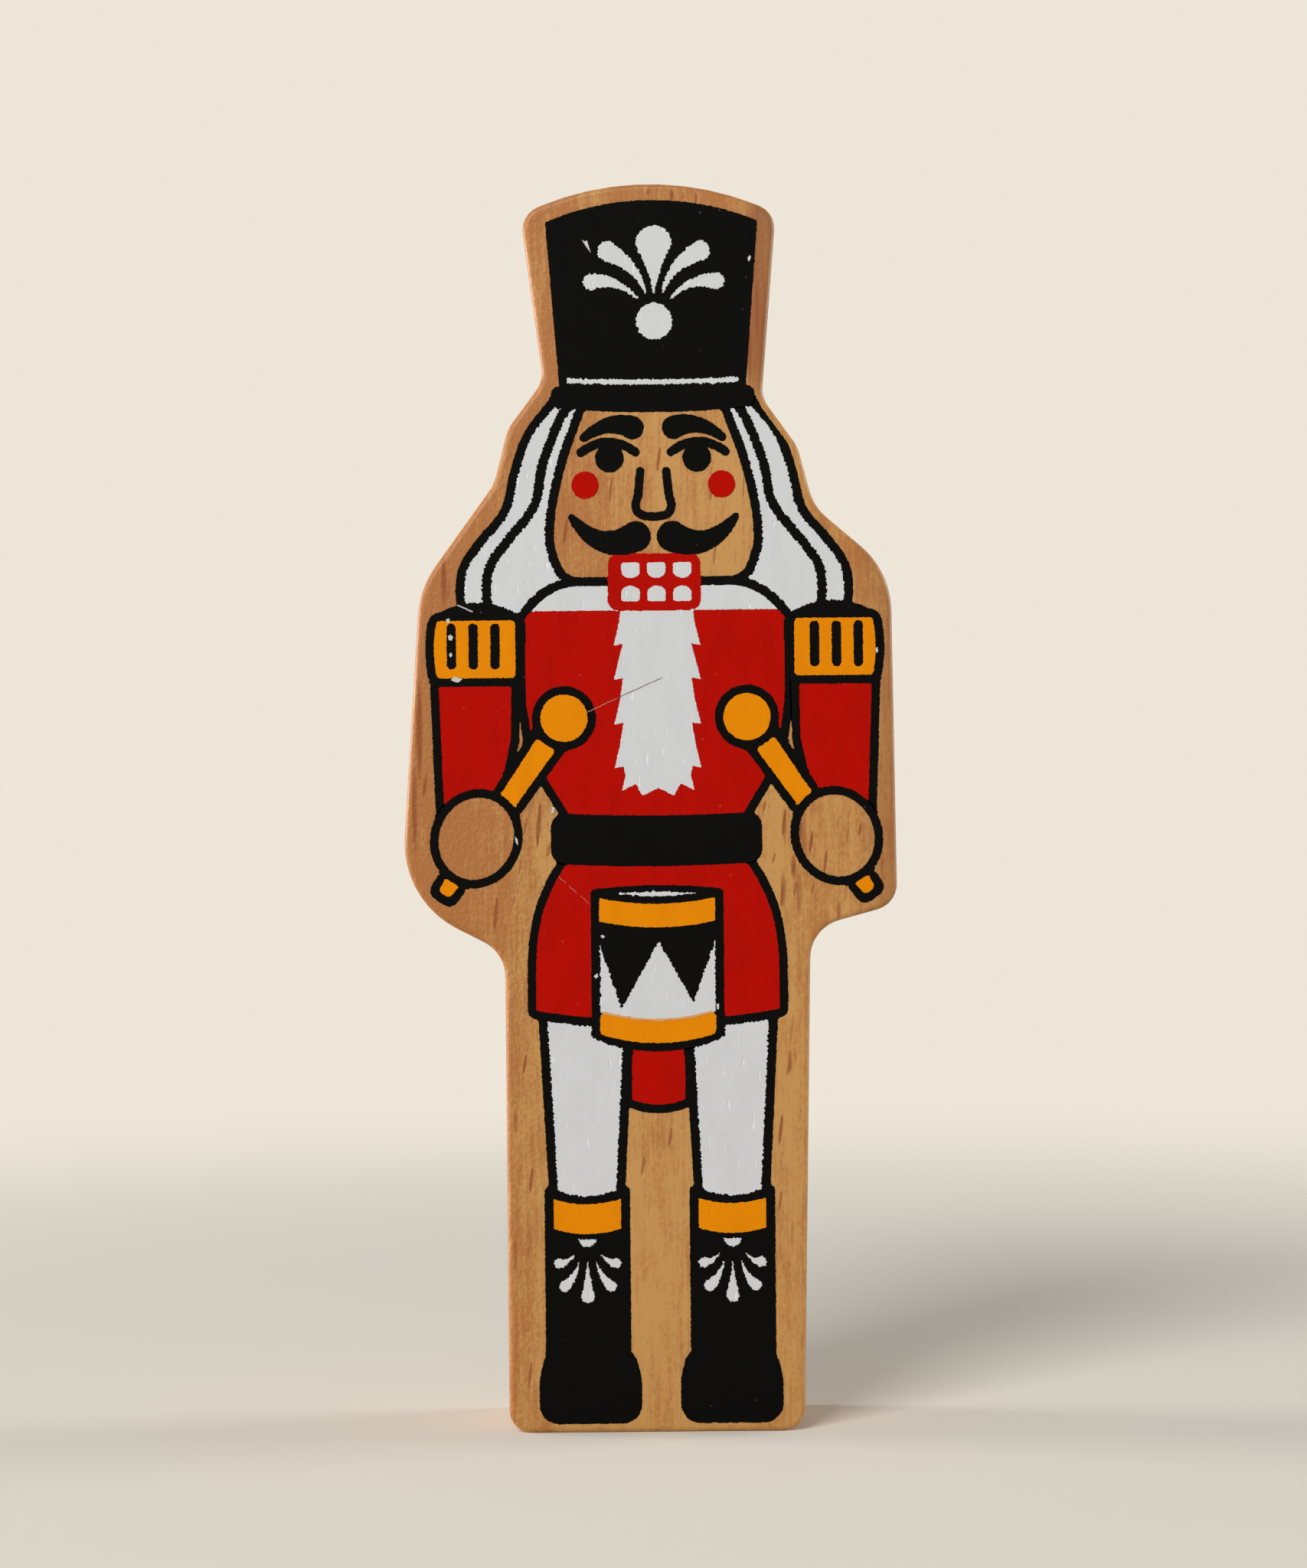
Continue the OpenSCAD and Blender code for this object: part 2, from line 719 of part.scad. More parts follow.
module brow_shape()
    translate([(brow_d + brow_gap) / 2, z_brim - brow_drop])
        stroke(bent([brow_l, -brow_bow], [0.48 * brow_l, brow_bow], [0, 0]), brow_tip, brow_d);

module eye_shape()
    translate([eye_pitch / 2, z_brim - eye_drop]) {
        circle(d = pupil_d);
        translate([lid_shift, lid_lift])
            stroke(bent([lid_w / 2, 0], [0, lid_bow], [-lid_w / 2, 0]), lid_t, lid_t);
    }

module cheek_shape()
    translate([cheek_pitch / 2, z_brim - cheek_drop])
        circle(d = cheek_d);

module nose_shape() {
    top = z_brim - nose_top * face_h;
    foot = moustache_z + nose_lift;
    nostril_h = nostril_part * (top - foot);
    side = [
        [nose_w / 2, top],
        [nose_w / 2 + nose_flare / 2, (top + foot) / 2],
        [nose_w / 2 + nose_flare, foot + nostril_h],
        [nose_w / 2 + nose_flare / 5, foot + nostril_h / 4],
        [0, foot]
    ];
    stroke(spline(concat(side, [for (i = [3:-1:0]) [-side[i].x, side[i].y]])), line_w, line_w);
}

module moustache_shape() {
    start = (moustache_d + moustache_gap) / 2;
    reach = (moustache_w - moustache_tip) / 2 - start;
    line = bent([reach, moustache_rise], [0.55 * reach, -moustache_sag], [0, 0]);
    translate([start, moustache_z])
        stroke(line, moustache_tip, moustache_d, 0.75);
}

module mouth_shape()
    translate([-mouth_w / 2, mouth_z - mouth_h])
        softened(mouth_r)
            square([mouth_w, mouth_h]);

module teeth_shape()
    for (i = [-1:1], row = [0, 1])
        translate([i * tooth_pitch + white_shift, mouth_z - mouth_h / 2])
            mirror([0, row])
                softened(0.1 * tooth_w)
                    intersection() {
                        translate([-tooth_w / 2, tooth_gap / 2])
                            square([tooth_w, tooth_h]);
                        translate([0, (tooth_gap + tooth_w) / 2])
                            scale([1.1, 1])
                                union() {
                                    circle(d = tooth_w);
                                    translate([-tooth_w, 0])
                                        square([2 * tooth_w, tooth_h]);
                                }
                    }

// Coat

module coat_fill()
    symmetrical(concat(
        [
            [waist_w / 2, z_chest - line_w],
            [waist_w / 2 + 0.2, z_chest + 0.2],
            [chest_w / 2 - 1, z_chest + 0.27 * chest_h],
            [chest_w / 2 - 0.15, z_chest + 0.55 * chest_h]
        ],
        bent([chest_w / 2, z_collar - line_w], [0.41 * chest_w, z_jaw], [0.29 * chest_w, z_jaw])
    ));

module coat_area()
    lined()
        coat_fill();

module above_collar()
    translate([-hair_w, z_collar])
        square([2 * hair_w, hair_w]);

module chest_cover() {
    mouth_shape();
    both_sides()
        moustache_shape();
    face_area();
    both_sides()
        arm_area();
    belt_shape();
    drum_area();
}

module belt_shape()
    softened(1.6)
        band(belt_w / 2, z_waist, z_chest, belt_dip);

module skirt_fill() {
    taper = (hem_w - waist_w) / 2;
    end = z_hem + line_w + hem_dip / 2;
    hem = [for (p = backwards(bow(hem_w / 2, end, -hem_dip))) if (p.x >= 0 && p.y < end - 0.01) p];
    side = spline([
        [hem_w / 2, end],
        [hem_w / 2, z_hem + 0.25 * skirt_h],
        [hem_w / 2 - 0.03 * taper, z_hem + 0.47 * skirt_h],
        [hem_w / 2 - 0.2 * taper, z_hem + 0.68 * skirt_h],
        [hem_w / 2 - 0.5 * taper, z_hem + 0.845 * skirt_h],
        [hem_w / 2 - 0.79 * taper, z_hem + 0.955 * skirt_h],
        [waist_w / 2, z_waist + 0.3]
    ]);
    symmetrical(concat(hem, side, [[waist_w / 2 - 1, z_waist + 1]]));
}

module skirt_area()
    lined()
        skirt_fill();

module tail_fill()
    polygon(concat(
        [[-tail_x, z_hem], [tail_x, z_hem]],
        bow(tail_x, z_hem - tail_l + 0.2 * tail_x, -0.2 * tail_x)
    ));

// Beard, with four tufts on each side and points at its end

module beard_fill() {
    foot = z_collar - beard_l;
    half = beard_w / 2;
    translate([white_shift, 0])
        symmetrical(concat(
            [
                [0, foot + 1.1 * tuft_w],
                [0.43 * half, foot],
                [0.62 * half, foot + 1.7 * tuft_w],
                [half, foot + 0.7 * tuft_w],
                [0.9 * half, foot + 2.75 * tuft_w]
            ],
            [for (h = [0.15, 0.385, 0.625, 0.81] * beard_l) each [
                [half - 0.3 * tuft_w, foot + h + 0.25 * tuft_w],
                [half + tuft_w, foot + h],
                [half + 0.2 * tuft_w, foot + h + 0.125 * beard_l]
            ]],
            [[half, z_collar]]
        ));
}

// Arms

module epaulette_fill()
    translate([arm_x, z_collar - line_w])
        softened(0.07 * epaulette_h)
            polygon(concat(
                [[-epaulette_w / 2, 0], [-epaulette_w / 2, -epaulette_h]],
                bent(
                    [epaulette_w / 2 - epaulette_bow, -epaulette_h],
                    [epaulette_w / 2 + 0.9 * epaulette_bow, -epaulette_h / 2],
                    [epaulette_w / 2 - epaulette_bow, 0]
                )
            ));

module epaulette_area() {
    lined()
        epaulette_fill();
    translate([arm_x - line_w / 5, 0])
        polygon(bow(epaulette_w / 2 + 0.65 * line_w, z_collar - line_w * 2 / 3, epaulette_cap));
}

module bars_shape()
    for (i = [-1:1])
        translate([arm_x + bar_shift + i * bar_pitch, z_collar - line_w - 0.45 * epaulette_h])
            softened(bar_w / 2 - 0.02)
                square([bar_w, epaulette_h - 1.2], center = true);

module sleeve_fill()
    softened(1)
        polygon([
            [arm_x - sleeve_w / 2, z_collar - epaulette_h],
            [arm_x + sleeve_w / 2, z_collar - epaulette_h],
            [arm_x + 0.42 * sleeve_w, hand_z + 0.1 * hand_h],
            [arm_x - 0.12 * sleeve_w, hand_z + 0.1 * hand_h],
            [arm_x - 0.35 * sleeve_w, hand_z + 0.67 * hand_h],
            [arm_x - 0.48 * sleeve_w, hand_z + 1.18 * hand_h]
        ]);

module sleeve_area()
    lined()
        sleeve_fill();

module hand_fill()
    translate([arm_x, hand_z])
        rotate(hand_tilt)
            scale([hand_w / hand_h, 1])
                circle(d = hand_h);

module hand_area()
    lined()
        hand_fill();

module arm_area() {
    epaulette_area();
    sleeve_area();
    stick_area();
    hand_area();
}

// Drumsticks

module head_fill()
    translate(head)
        circle(d = head_d);

module head_area()
    lined()
        head_fill();

module shaft_fill() {
    n = [-stick_dir.y, stick_dir.x] / 2;
    polygon([head + n * shaft_w, butt + n * butt_w, butt - n * butt_w, head - n * shaft_w]);
}

module stick_area()
    lined() {
        head_fill();
        shaft_fill();
    }

module stick_gold() {
    head_fill();
    difference() {
        shaft_fill();
        head_area();
    }
}

// Drum

module drum_area()
    softened(0.5 * line_w)
        polygon(concat(
            backwards(bow(drum_w / 2, drum_z + drum_h, drum_rise)),
            bow(drum_w / 2, drum_z, -hoop_bow - 0.7 * line_w)
        ));

module hoop_shapes() {
    band(drum_x, drum_z + drum_h - line_w - hoop_h, drum_z + drum_h - line_w, hoop_bow * 0.7);
    softened(0.2 * hoop_h)
        band(drum_x, drum_z + hoop_lift, drum_z + hoop_lift + hoop_h, hoop_bow);
}

module shell_fill() {
    low = drum_z + hoop_lift + hoop_h;
    polygon(concat(
        [
            [-drum_x, low],
            [-drum_x, low + 0.955 * shell_h],
            [-0.63 * drum_x, low + 0.04 * shell_h],
            [0.02 * drum_x, low + shell_h],
            [0.615 * drum_x, low + 0.125 * shell_h],
            [drum_x, low + 1.01 * shell_h],
            [drum_x, low]
        ],
        bow(0.9 * drum_x, low - hoop_h / 2, -hoop_bow)
    ));
}

module drum_head_fill() {
    level = drum_z + drum_h - line_w / 2;
    polygon(concat(
        bow(drum_head_w / 2, level, -0.8 * drum_rise),
        backwards(bow(drum_head_w / 2, level, 0.5 * drum_rise))
    ));
}

// Legs

module trouser_fill()
    polygon([
        [leg_x - thigh_w / 2, z_hem + line_w],
        [leg_x + thigh_w / 2, z_hem + line_w],
        [leg_x + knee_w / 2, z_boot - cuff_dip - 1],
        [leg_x - knee_w / 2, z_boot - cuff_dip - 1]
    ]);

module trouser_area()
    lined()
        trouser_fill();

module boot_area()
    translate([leg_x, sole_rim])
        softened(0.5) {
            polygon(concat(
                [[-boot_w / 2, boot_h], [-boot_w / 2, foot_h / 2], [boot_w / 2, foot_h / 2]],
                bow(boot_w / 2, boot_h, -cuff_dip)
            ));
            translate([-foot_in, 0])
                softened(foot_r)
                    symmetrical(concat([[foot_w / 2, 0]], bent(
                        [foot_w / 2, 0.5 * foot_h],
                        [foot_w / 2, 0.72 * foot_h],
                        [boot_w / 2 - 0.2, foot_h]
                    )));
        }

module boot_band_shape()
    translate([leg_x, z_boot - cuff_dip - band_drop])
        band(band_w / 2, band_dip - band_h, band_dip, band_dip);

module boot_crest_shape()
    translate([leg_x, z_boot - cuff_dip - band_drop - band_h - boot_crest_drop]) {
        intersection() {
            circle(d = boot_ball_d);
            translate([-boot_ball_d, -boot_ball_d])
                square([2 * boot_ball_d, boot_ball_d]);
        }
        stroke(straight(
            [0, -0.37 * boot_crest_h],
            [0, boot_drop_d / 2 - boot_crest_h]
        ), drop_tip, boot_drop_d, 1.4);
        both_sides() {
            stroke(bent(
                [0.31 * boot_crest_reach, -0.37 * boot_crest_h],
                [0.44 * boot_crest_reach, -0.59 * boot_crest_h],
                [0.81 * boot_crest_reach, -0.73 * boot_crest_h]
            ), drop_tip, 0.88 * boot_drop_d, 1.2);
            stroke(bent(
                [0.47 * boot_crest_reach, -0.25 * boot_crest_h],
                [0.75 * boot_crest_reach, -0.38 * boot_crest_h],
                [boot_crest_reach, -0.38 * boot_crest_h]
            ), drop_tip, 0.82 * boot_drop_d, 1.2);
        }
    }

module leg_cover() {
    skirt_area();
    drum_area();
}

// Board with its sanded edges: rings of the outline, drawn in towards the front and the back

board_outline = [for (p = cut_line) p + [axis_x, 0]];
edge_angles = [for (i = [0:edge_steps]) 90 * i / edge_steps];
edge_rings = concat(
    [for (a = backwards(edge_angles)) [edge_r * (1 - cos(a)), front_y + edge_r * (1 - sin(a))]],
    [for (a = edge_angles) [edge_r * (1 - cos(a)), front_y + board_t - edge_r * (1 - sin(a))]]
);

function inward(i) =
    let (d = unit(at(board_outline, i + 1) - at(board_outline, i - 1))) [-d.y, d.x];

function drawn_in(i, by) = board_outline[i] + inward(i) * by;

module wood_board() {
    count = len(board_outline);
    back = (len(edge_rings) - 1) * count;
    color(bare_wood)
        polyhedron(
            points = [for (ring = edge_rings, i = [0:count - 1])
                let (p = drawn_in(i, ring[0])) [p.x, ring[1], p.y]],
            faces = concat(
                [for (i = [0:count / 2 - 2])
                    [i, count - 1 - i, count - 2 - i, i + 1]],
                [for (i = [0:count / 2 - 2])
                    [back + i, back + i + 1, back + count - 2 - i, back + count - 1 - i]],
                [for (r = [0:len(edge_rings) - 2], i = [0:count - 1])
                    let (j = (i + 1) % count)
                    [r * count + i, r * count + j, (r + 1) * count + j, (r + 1) * count + i]]
            )
        );
}

// Printed films, one module for each

module hat_black()
    film(black_ink)
        difference() {
            hat_shape();
            crest_shape();
            cord_shape();
        }

module hat_crest_white()
    film(white_ink)
        crest_shape();

module hat_cord_white()
    film(white_ink)
        difference() {
            cord_shape();
            crest_shape();
        }

module hair_white(side)
    film(white_ink)
        on(side)
            difference() {
                hair_fill();
                strand_shape();
                hair_cover();
            }

module hair_line(side)
    film(black_ink)
        on(side)
            difference() {
                union() {
                    difference() {
                        lined()
                            hair_fill();
                        hair_fill();
                    }
                    strand_shape();
                }
                hair_cover();
            }

module face_line()
    film(black_ink)
        difference() {
            face_area();
            face_fill();
            hat_shape();
            mouth_shape();
        }

module eyebrows()
    film(black_ink)
        difference() {
            both_sides()
                brow_shape();
            hat_shape();
        }

module eyes()
    film(black_ink)
        difference() {
            both_sides()
                eye_shape();
            both_sides()
                brow_shape();
        }

module nose()
    film(black_ink)
        difference() {
            nose_shape();
            both_sides()
                moustache_shape();
        }

module cheeks_red()
    film(red_ink)
        difference() {
            both_sides()
                cheek_shape();
            both_sides() {
                eye_shape();
                moustache_shape();
            }
            nose_shape();
        }

module moustache()
    film(black_ink)
        both_sides()
            moustache_shape();

module mouth_red()
    film(red_ink)
        difference() {
            mouth_shape();
            teeth_shape();
            both_sides()
                moustache_shape();
        }

module teeth_white()
    film(white_ink)
        difference() {
            teeth_shape();
            both_sides()
                moustache_shape();
        }

module collar_white()
    film(white_ink)
        difference() {
            intersection() {
                coat_fill();
                above_collar();
            }
            chest_cover();
        }

module beard_white()
    film(white_ink)
        difference() {
            beard_fill();
            chest_cover();
        }

module coat_red()
    film(red_ink)
        difference() {
            coat_fill();
            above_collar();
            beard_fill();
            chest_cover();
        }

module coat_line()
    film(black_ink)
        difference() {
            coat_area();
            coat_fill();
            chest_cover();
        }

module belt_black()
    film(black_ink)
        difference() {
            belt_shape();
            drum_area();
            both_sides()
                arm_area();
        }

module skirt_red()
    film(red_ink)
        difference() {
            skirt_fill();
            belt_shape();
            drum_area();
            both_sides()
                arm_area();
        }

module skirt_line()
    film(black_ink)
        difference() {
            skirt_area();
            skirt_fill();
            belt_shape();
            drum_area();
            both_sides()
                arm_area();
        }

module coat_tail_red()
    film(red_ink)
        difference() {
            tail_fill();
            leg_cover();
            both_sides()
                trouser_area();
        }

module coat_tail_line()
    film(black_ink)
        difference() {
            lined()
                tail_fill();
            tail_fill();
            leg_cover();
            both_sides()
                trouser_area();
        }

module epaulette_gold(side)
    film(gold_ink)
        on(side)
            difference() {
                epaulette_fill();
                bars_shape();
            }

module epaulette_black(side)
    film(black_ink)
        on(side) {
            difference() {
                epaulette_area();
                epaulette_fill();
            }
            bars_shape();
        }

module sleeve_red(side)
    film(red_ink)
        on(side)
            difference() {
                sleeve_fill();
                epaulette_area();
                stick_area();
                hand_area();
            }

module sleeve_line(side)
    film(black_ink)
        on(side)
            difference() {
                sleeve_area();
                sleeve_fill();
                epaulette_area();
                stick_area();
                hand_area();
            }

module hand_line(side)
    film(black_ink)
        on(side)
            difference() {
                hand_area();
                hand_fill();
            }

module drumstick_gold(side)
    film(gold_ink)
        on(side)
            difference() {
                stick_gold();
                hand_area();
                epaulette_area();
            }

module drumstick_line(side)
    film(black_ink)
        on(side)
            difference() {
                stick_area();
                stick_gold();
                hand_area();
                epaulette_area();
            }

module drum_black()
    film(black_ink)
        difference() {
            drum_area();
            hoop_shapes();
            shell_fill();
            drum_head_fill();
        }

module drum_hoops_gold()
    film(gold_ink)
        hoop_shapes();

module drum_shell_white()
    film(white_ink)
        difference() {
            shell_fill();
            hoop_shapes();
        }

module drum_head_white()
    film(white_ink)
        difference() {
            drum_head_fill();
            hoop_shapes();
        }

module trouser_white(side)
    film(white_ink)
        on(side)
            difference() {
                trouser_fill();
                leg_cover();
                boot_area();
            }

module trouser_line(side)
    film(black_ink)
        on(side)
            difference() {
                trouser_area();
                trouser_fill();
                leg_cover();
                boot_area();
            }

module boot_black(side)
    film(black_ink)
        on(side)
            difference() {
                boot_area();
                boot_band_shape();
                boot_crest_shape();
            }

module boot_band_gold(side)
    film(gold_ink)
        on(side)
            boot_band_shape();

module boot_crest_white(side)
    film(white_ink)
        on(side)
            boot_crest_shape();

// Sub-parts

wood_board();
hat_black();
hat_crest_white();
hat_cord_white();
hair_white(left);  // hair_white_left
hair_white(right);  // hair_white_right
hair_line(left);  // hair_line_left
hair_line(right);  // hair_line_right
face_line();
eyebrows();
eyes();
nose();
cheeks_red();
moustache();
mouth_red();
teeth_white();
collar_white();
beard_white();
coat_red();
coat_line();
belt_black();
skirt_red();
skirt_line();
coat_tail_red();
coat_tail_line();
epaulette_gold(left);  // epaulette_gold_left
epaulette_gold(right);  // epaulette_gold_right
epaulette_black(left);  // epaulette_black_left
epaulette_black(right);  // epaulette_black_right
sleeve_red(left);  // sleeve_red_left
sleeve_red(right);  // sleeve_red_right
sleeve_line(left);  // sleeve_line_left
sleeve_line(right);  // sleeve_line_right
hand_line(left);  // hand_line_left
hand_line(right);  // hand_line_right
drumstick_gold(left);  // drumstick_gold_left
drumstick_gold(right);  // drumstick_gold_right
drumstick_line(left);  // drumstick_line_left
drumstick_line(right);  // drumstick_line_right
drum_black();
drum_hoops_gold();
drum_shell_white();
drum_head_white();
trouser_white(left);  // trouser_white_left
trouser_white(right);  // trouser_white_right
trouser_line(left);  // trouser_line_left
trouser_line(right);  // trouser_line_right
boot_black(left);  // boot_black_left
boot_black(right);  // boot_black_right
boot_band_gold(left);  // boot_band_gold_left
boot_band_gold(right);  // boot_band_gold_right
boot_crest_white(left);  // boot_crest_white_left
boot_crest_white(right);  // boot_crest_white_right
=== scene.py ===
import math
import random

import bpy
import numpy as np
from mathutils import Matrix, Vector, kdtree, noise
from mathutils.geometry import delaunay_2d_cdt


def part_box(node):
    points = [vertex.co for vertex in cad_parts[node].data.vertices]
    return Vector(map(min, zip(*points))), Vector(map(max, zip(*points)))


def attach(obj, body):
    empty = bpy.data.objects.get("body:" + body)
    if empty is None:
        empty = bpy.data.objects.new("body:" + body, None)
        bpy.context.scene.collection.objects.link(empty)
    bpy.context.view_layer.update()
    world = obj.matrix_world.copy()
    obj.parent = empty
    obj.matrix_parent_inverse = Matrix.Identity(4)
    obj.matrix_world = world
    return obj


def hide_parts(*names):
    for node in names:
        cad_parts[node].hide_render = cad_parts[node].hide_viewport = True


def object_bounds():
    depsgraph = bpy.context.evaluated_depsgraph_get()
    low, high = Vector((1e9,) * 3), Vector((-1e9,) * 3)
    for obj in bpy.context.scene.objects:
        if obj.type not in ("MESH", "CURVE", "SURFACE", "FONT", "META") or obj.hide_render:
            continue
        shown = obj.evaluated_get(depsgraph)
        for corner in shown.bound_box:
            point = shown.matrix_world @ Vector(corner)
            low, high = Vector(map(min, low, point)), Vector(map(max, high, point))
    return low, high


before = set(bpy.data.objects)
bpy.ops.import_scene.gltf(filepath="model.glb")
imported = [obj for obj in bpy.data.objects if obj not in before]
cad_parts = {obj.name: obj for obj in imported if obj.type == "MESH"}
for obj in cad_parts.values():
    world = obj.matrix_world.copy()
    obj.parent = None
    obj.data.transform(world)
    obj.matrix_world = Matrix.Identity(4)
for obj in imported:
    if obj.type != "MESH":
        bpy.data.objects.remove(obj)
cad_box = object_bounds()

# One millimetre in metres: all lengths below are in millimetres unless they say otherwise
MM = 0.001

# Photograph in pixels: its size, the middle of the figure's foot and the figure's height
PHOTO_SIZE = (1707, 2048)
FOOT_PX = (859.6, 1871.0)
HEIGHT_PX = 1631.5

# Camera: where that middle lies across the part, the figure's lean, the lens, its sensor and near end
FOOT_X = 0.25
LEAN = math.radians(0.52)
LENS = 85.0
SENSOR = 36.0
CLIP_START = 10.0

# Reading outlines: digits that merged corners share, depth of a flat front, sharp turns, least distance
MERGE_DIGITS = 4
FRONT_DEPTH = 0.001
CORNER = math.radians(35)
TOUCHING = 1e-6

# Board: spacing of the outline's points, steps round an edge and over the wall
BOARD_STEP = 0.5
EDGE_STEPS = 7
WALL_STEPS = 6

# Sanding: the share of an edge's radius that wanders, its wave length and the slice of noise it follows,
# then the depth and length of the wall's waves
EDGE_WANDER = 0.16
EDGE_LENGTH = 6.0
EDGE_SLICE = 3.0
SAND_WAVE = 0.035
SAND_LENGTH = 9.0

# Open pores cut into both faces: how many are tried, size ranges, depth, room to each other and the edge
PORE_SEED = 11
PORE_TRIES = 150
PORE_LENGTH = (1.6, 4.2)
PORE_WIDTH = (0.4, 0.8)
PORE_STRENGTH = (0.2, 0.6)
PORE_DEPTH = 0.025
PORE_APART = (1.0, 0.5)
PORE_EDGE = 0.45

# A pore's spindle: steps along it, its lean as a share of its width, how blunt it is, where it is tested
PORE_SIDES = 6
PORE_LEAN = 0.6
PORE_BLUNT = 0.7
PORE_TESTS = (-0.5, -0.25, 0, 0.25, 0.5)

# The long pores that the photograph shows: x, z, length, width, strength
PORES_SEEN = (
    (-25.2, 72.6, 3.0, 0.68, 0.7),
    (-17.4, 58.2, 4.6, 0.68, 0.9),
    (-12.5, 68.2, 5.8, 0.75, 1.0),
    (-11.4, 65.4, 2.2, 0.9, 0.5),
    (-14.0, 68.0, 2.4, 0.52, 0.6),
    (-14.6, 63.6, 2.2, 0.45, 0.5),
    (15.0, 68.2, 3.6, 0.6, 0.9),
    (12.8, 70.0, 1.6, 0.5, 0.7),
    (16.8, 67.2, 2.6, 0.55, 0.9),
    (18.0, 66.0, 3.0, 0.6, 0.9),
    (19.6, 63.8, 3.2, 0.55, 0.7),
    (22.1, 66.7, 2.2, 0.5, 0.5),
    (23.5, 67.3, 1.8, 0.55, 0.7),
    (13.8, 64.2, 1.5, 0.5, 0.6),
    (16.0, 63.0, 1.4, 0.6, 0.9),
    (14.7, 60.0, 3.0, 0.55, 0.8),
    (16.2, 60.8, 2.0, 0.5, 0.6),
    (18.2, 60.9, 1.8, 0.5, 0.5),
    (-14.3, 41.4, 2.6, 0.6, 0.8),
    (-13.7, 28.4, 3.4, 0.6, 0.8),
    (-14.0, 6.6, 3.4, 0.6, 0.6),
    (1.9, 33.0, 2.6, 0.68, 0.6),
    (15.2, 40.6, 1.8, 0.52, 0.6),
    (14.3, 33.8, 4.0, 0.68, 0.8),
    (14.2, 25.8, 2.6, 0.52, 0.6),
    (-4.1, 105.6, 3.6, 0.6, 0.6),
    (-9.2, 101.0, 3.4, 0.75, 0.7),
    (1.3, 109.0, 3.4, 0.68, 0.7),
    (7.5, 98.6, 3.6, 0.6, 0.5),
)

# Dark streaks on the rounded edges and round some pores: x, z, half length, half width, strength
STREAKS_SEEN = (
    (-25.8, 79.0, 6.5, 0.42, 1.0),
    (-26.4, 70.0, 5.5, 0.32, 1.0),
    (-22.9, 95.5, 3.4, 0.36, 1.0),
    (-26.4, 89.5, 4.5, 0.24, 0.6),
    (12.3, 126.0, 11.0, 1.4, 0.6),
    (12.0, 131.0, 3.5, 0.28, 0.9),
    (12.5, 125.5, 4.0, 0.26, 0.9),
    (11.6, 121.0, 4.0, 0.28, 0.95),
    (17.0, 66.6, 3.6, 0.55, 0.6),
    (16.0, 63.2, 1.6, 0.35, 0.8),
    (14.8, 60.6, 2.4, 0.35, 0.7),
    (16.6, 60.2, 2.8, 0.4, 0.7),
    (15.0, 68.0, 2.4, 0.3, 0.6),
    (21.0, 58.3, 1.0, 0.3, 0.7),
    (0.4, 139.0, 0.5, 0.25, 0.7),
    (3.0, 138.6, 0.8, 0.26, 0.95),
    (4.3, 138.5, 0.6, 0.2, 0.7),
    (5.7, 138.2, 0.9, 0.24, 0.85),
    (-15.4, 35.0, 1.6, 0.28, 0.75),
    (15.4, 41.4, 1.6, 0.28, 0.75),
    (-15.6, 20.0, 2.2, 0.25, 0.6),
    (15.5, 22.0, 2.0, 0.22, 0.55),
)

# Ink films: spacing of edge points, depth in the wood, raggedness as reach and wave length
INK_STEP = 0.1
INK_SUNK = 0.05
RAG = ((0.035, 0.7), (0.08, 0.22))
RAG_WHITE = ((0.05, 0.6), (0.22, 0.21))
SMOOTH_WHITES = ("beard_white", "collar_white", "teeth_white")

# How far the ink rounds its corners, further at the drumsticks, and how far the boots' crests draw in
ROUND = 0.12
ROUND_STICK = 0.6
CREST_THIN = 0.08

# An edge this close to another film's edge, of its own or a later ink, reaches this far under it
COVERED = 0.09
TUCK = 0.15

# The inks in the order of printing, with their heights; films of one ink differ by a hair
INK_HEIGHT = {"ink_gold": 0.045, "ink_red": 0.058, "ink_black": 0.075, "ink_white": 0.096}
INK_STEP_UP = 0.0022
INK_TIERS = 5

# The rounded side of a film: share of its height, and how far in from its edge
FILM_SIDE = ((0.45, 0.0), (0.85, 0.02), (1.0, 0.05))

# The strip where the drum's lower hoop lies thin over the white: width, reach, height and colour
THIN_GOLD_W = 0.2
THIN_GOLD_OVER = 0.1
THIN_GOLD_RISE = 0.112
THIN_GOLD = (0.77, 0.37, 0.12, 1)

# That strip's edge: how far up it faces, its width's least share and change, the wave length
THIN_GOLD_FACING = 0.7
THIN_GOLD_SHARES = (0.75, 0.5)
THIN_GOLD_WAVE = 1.3

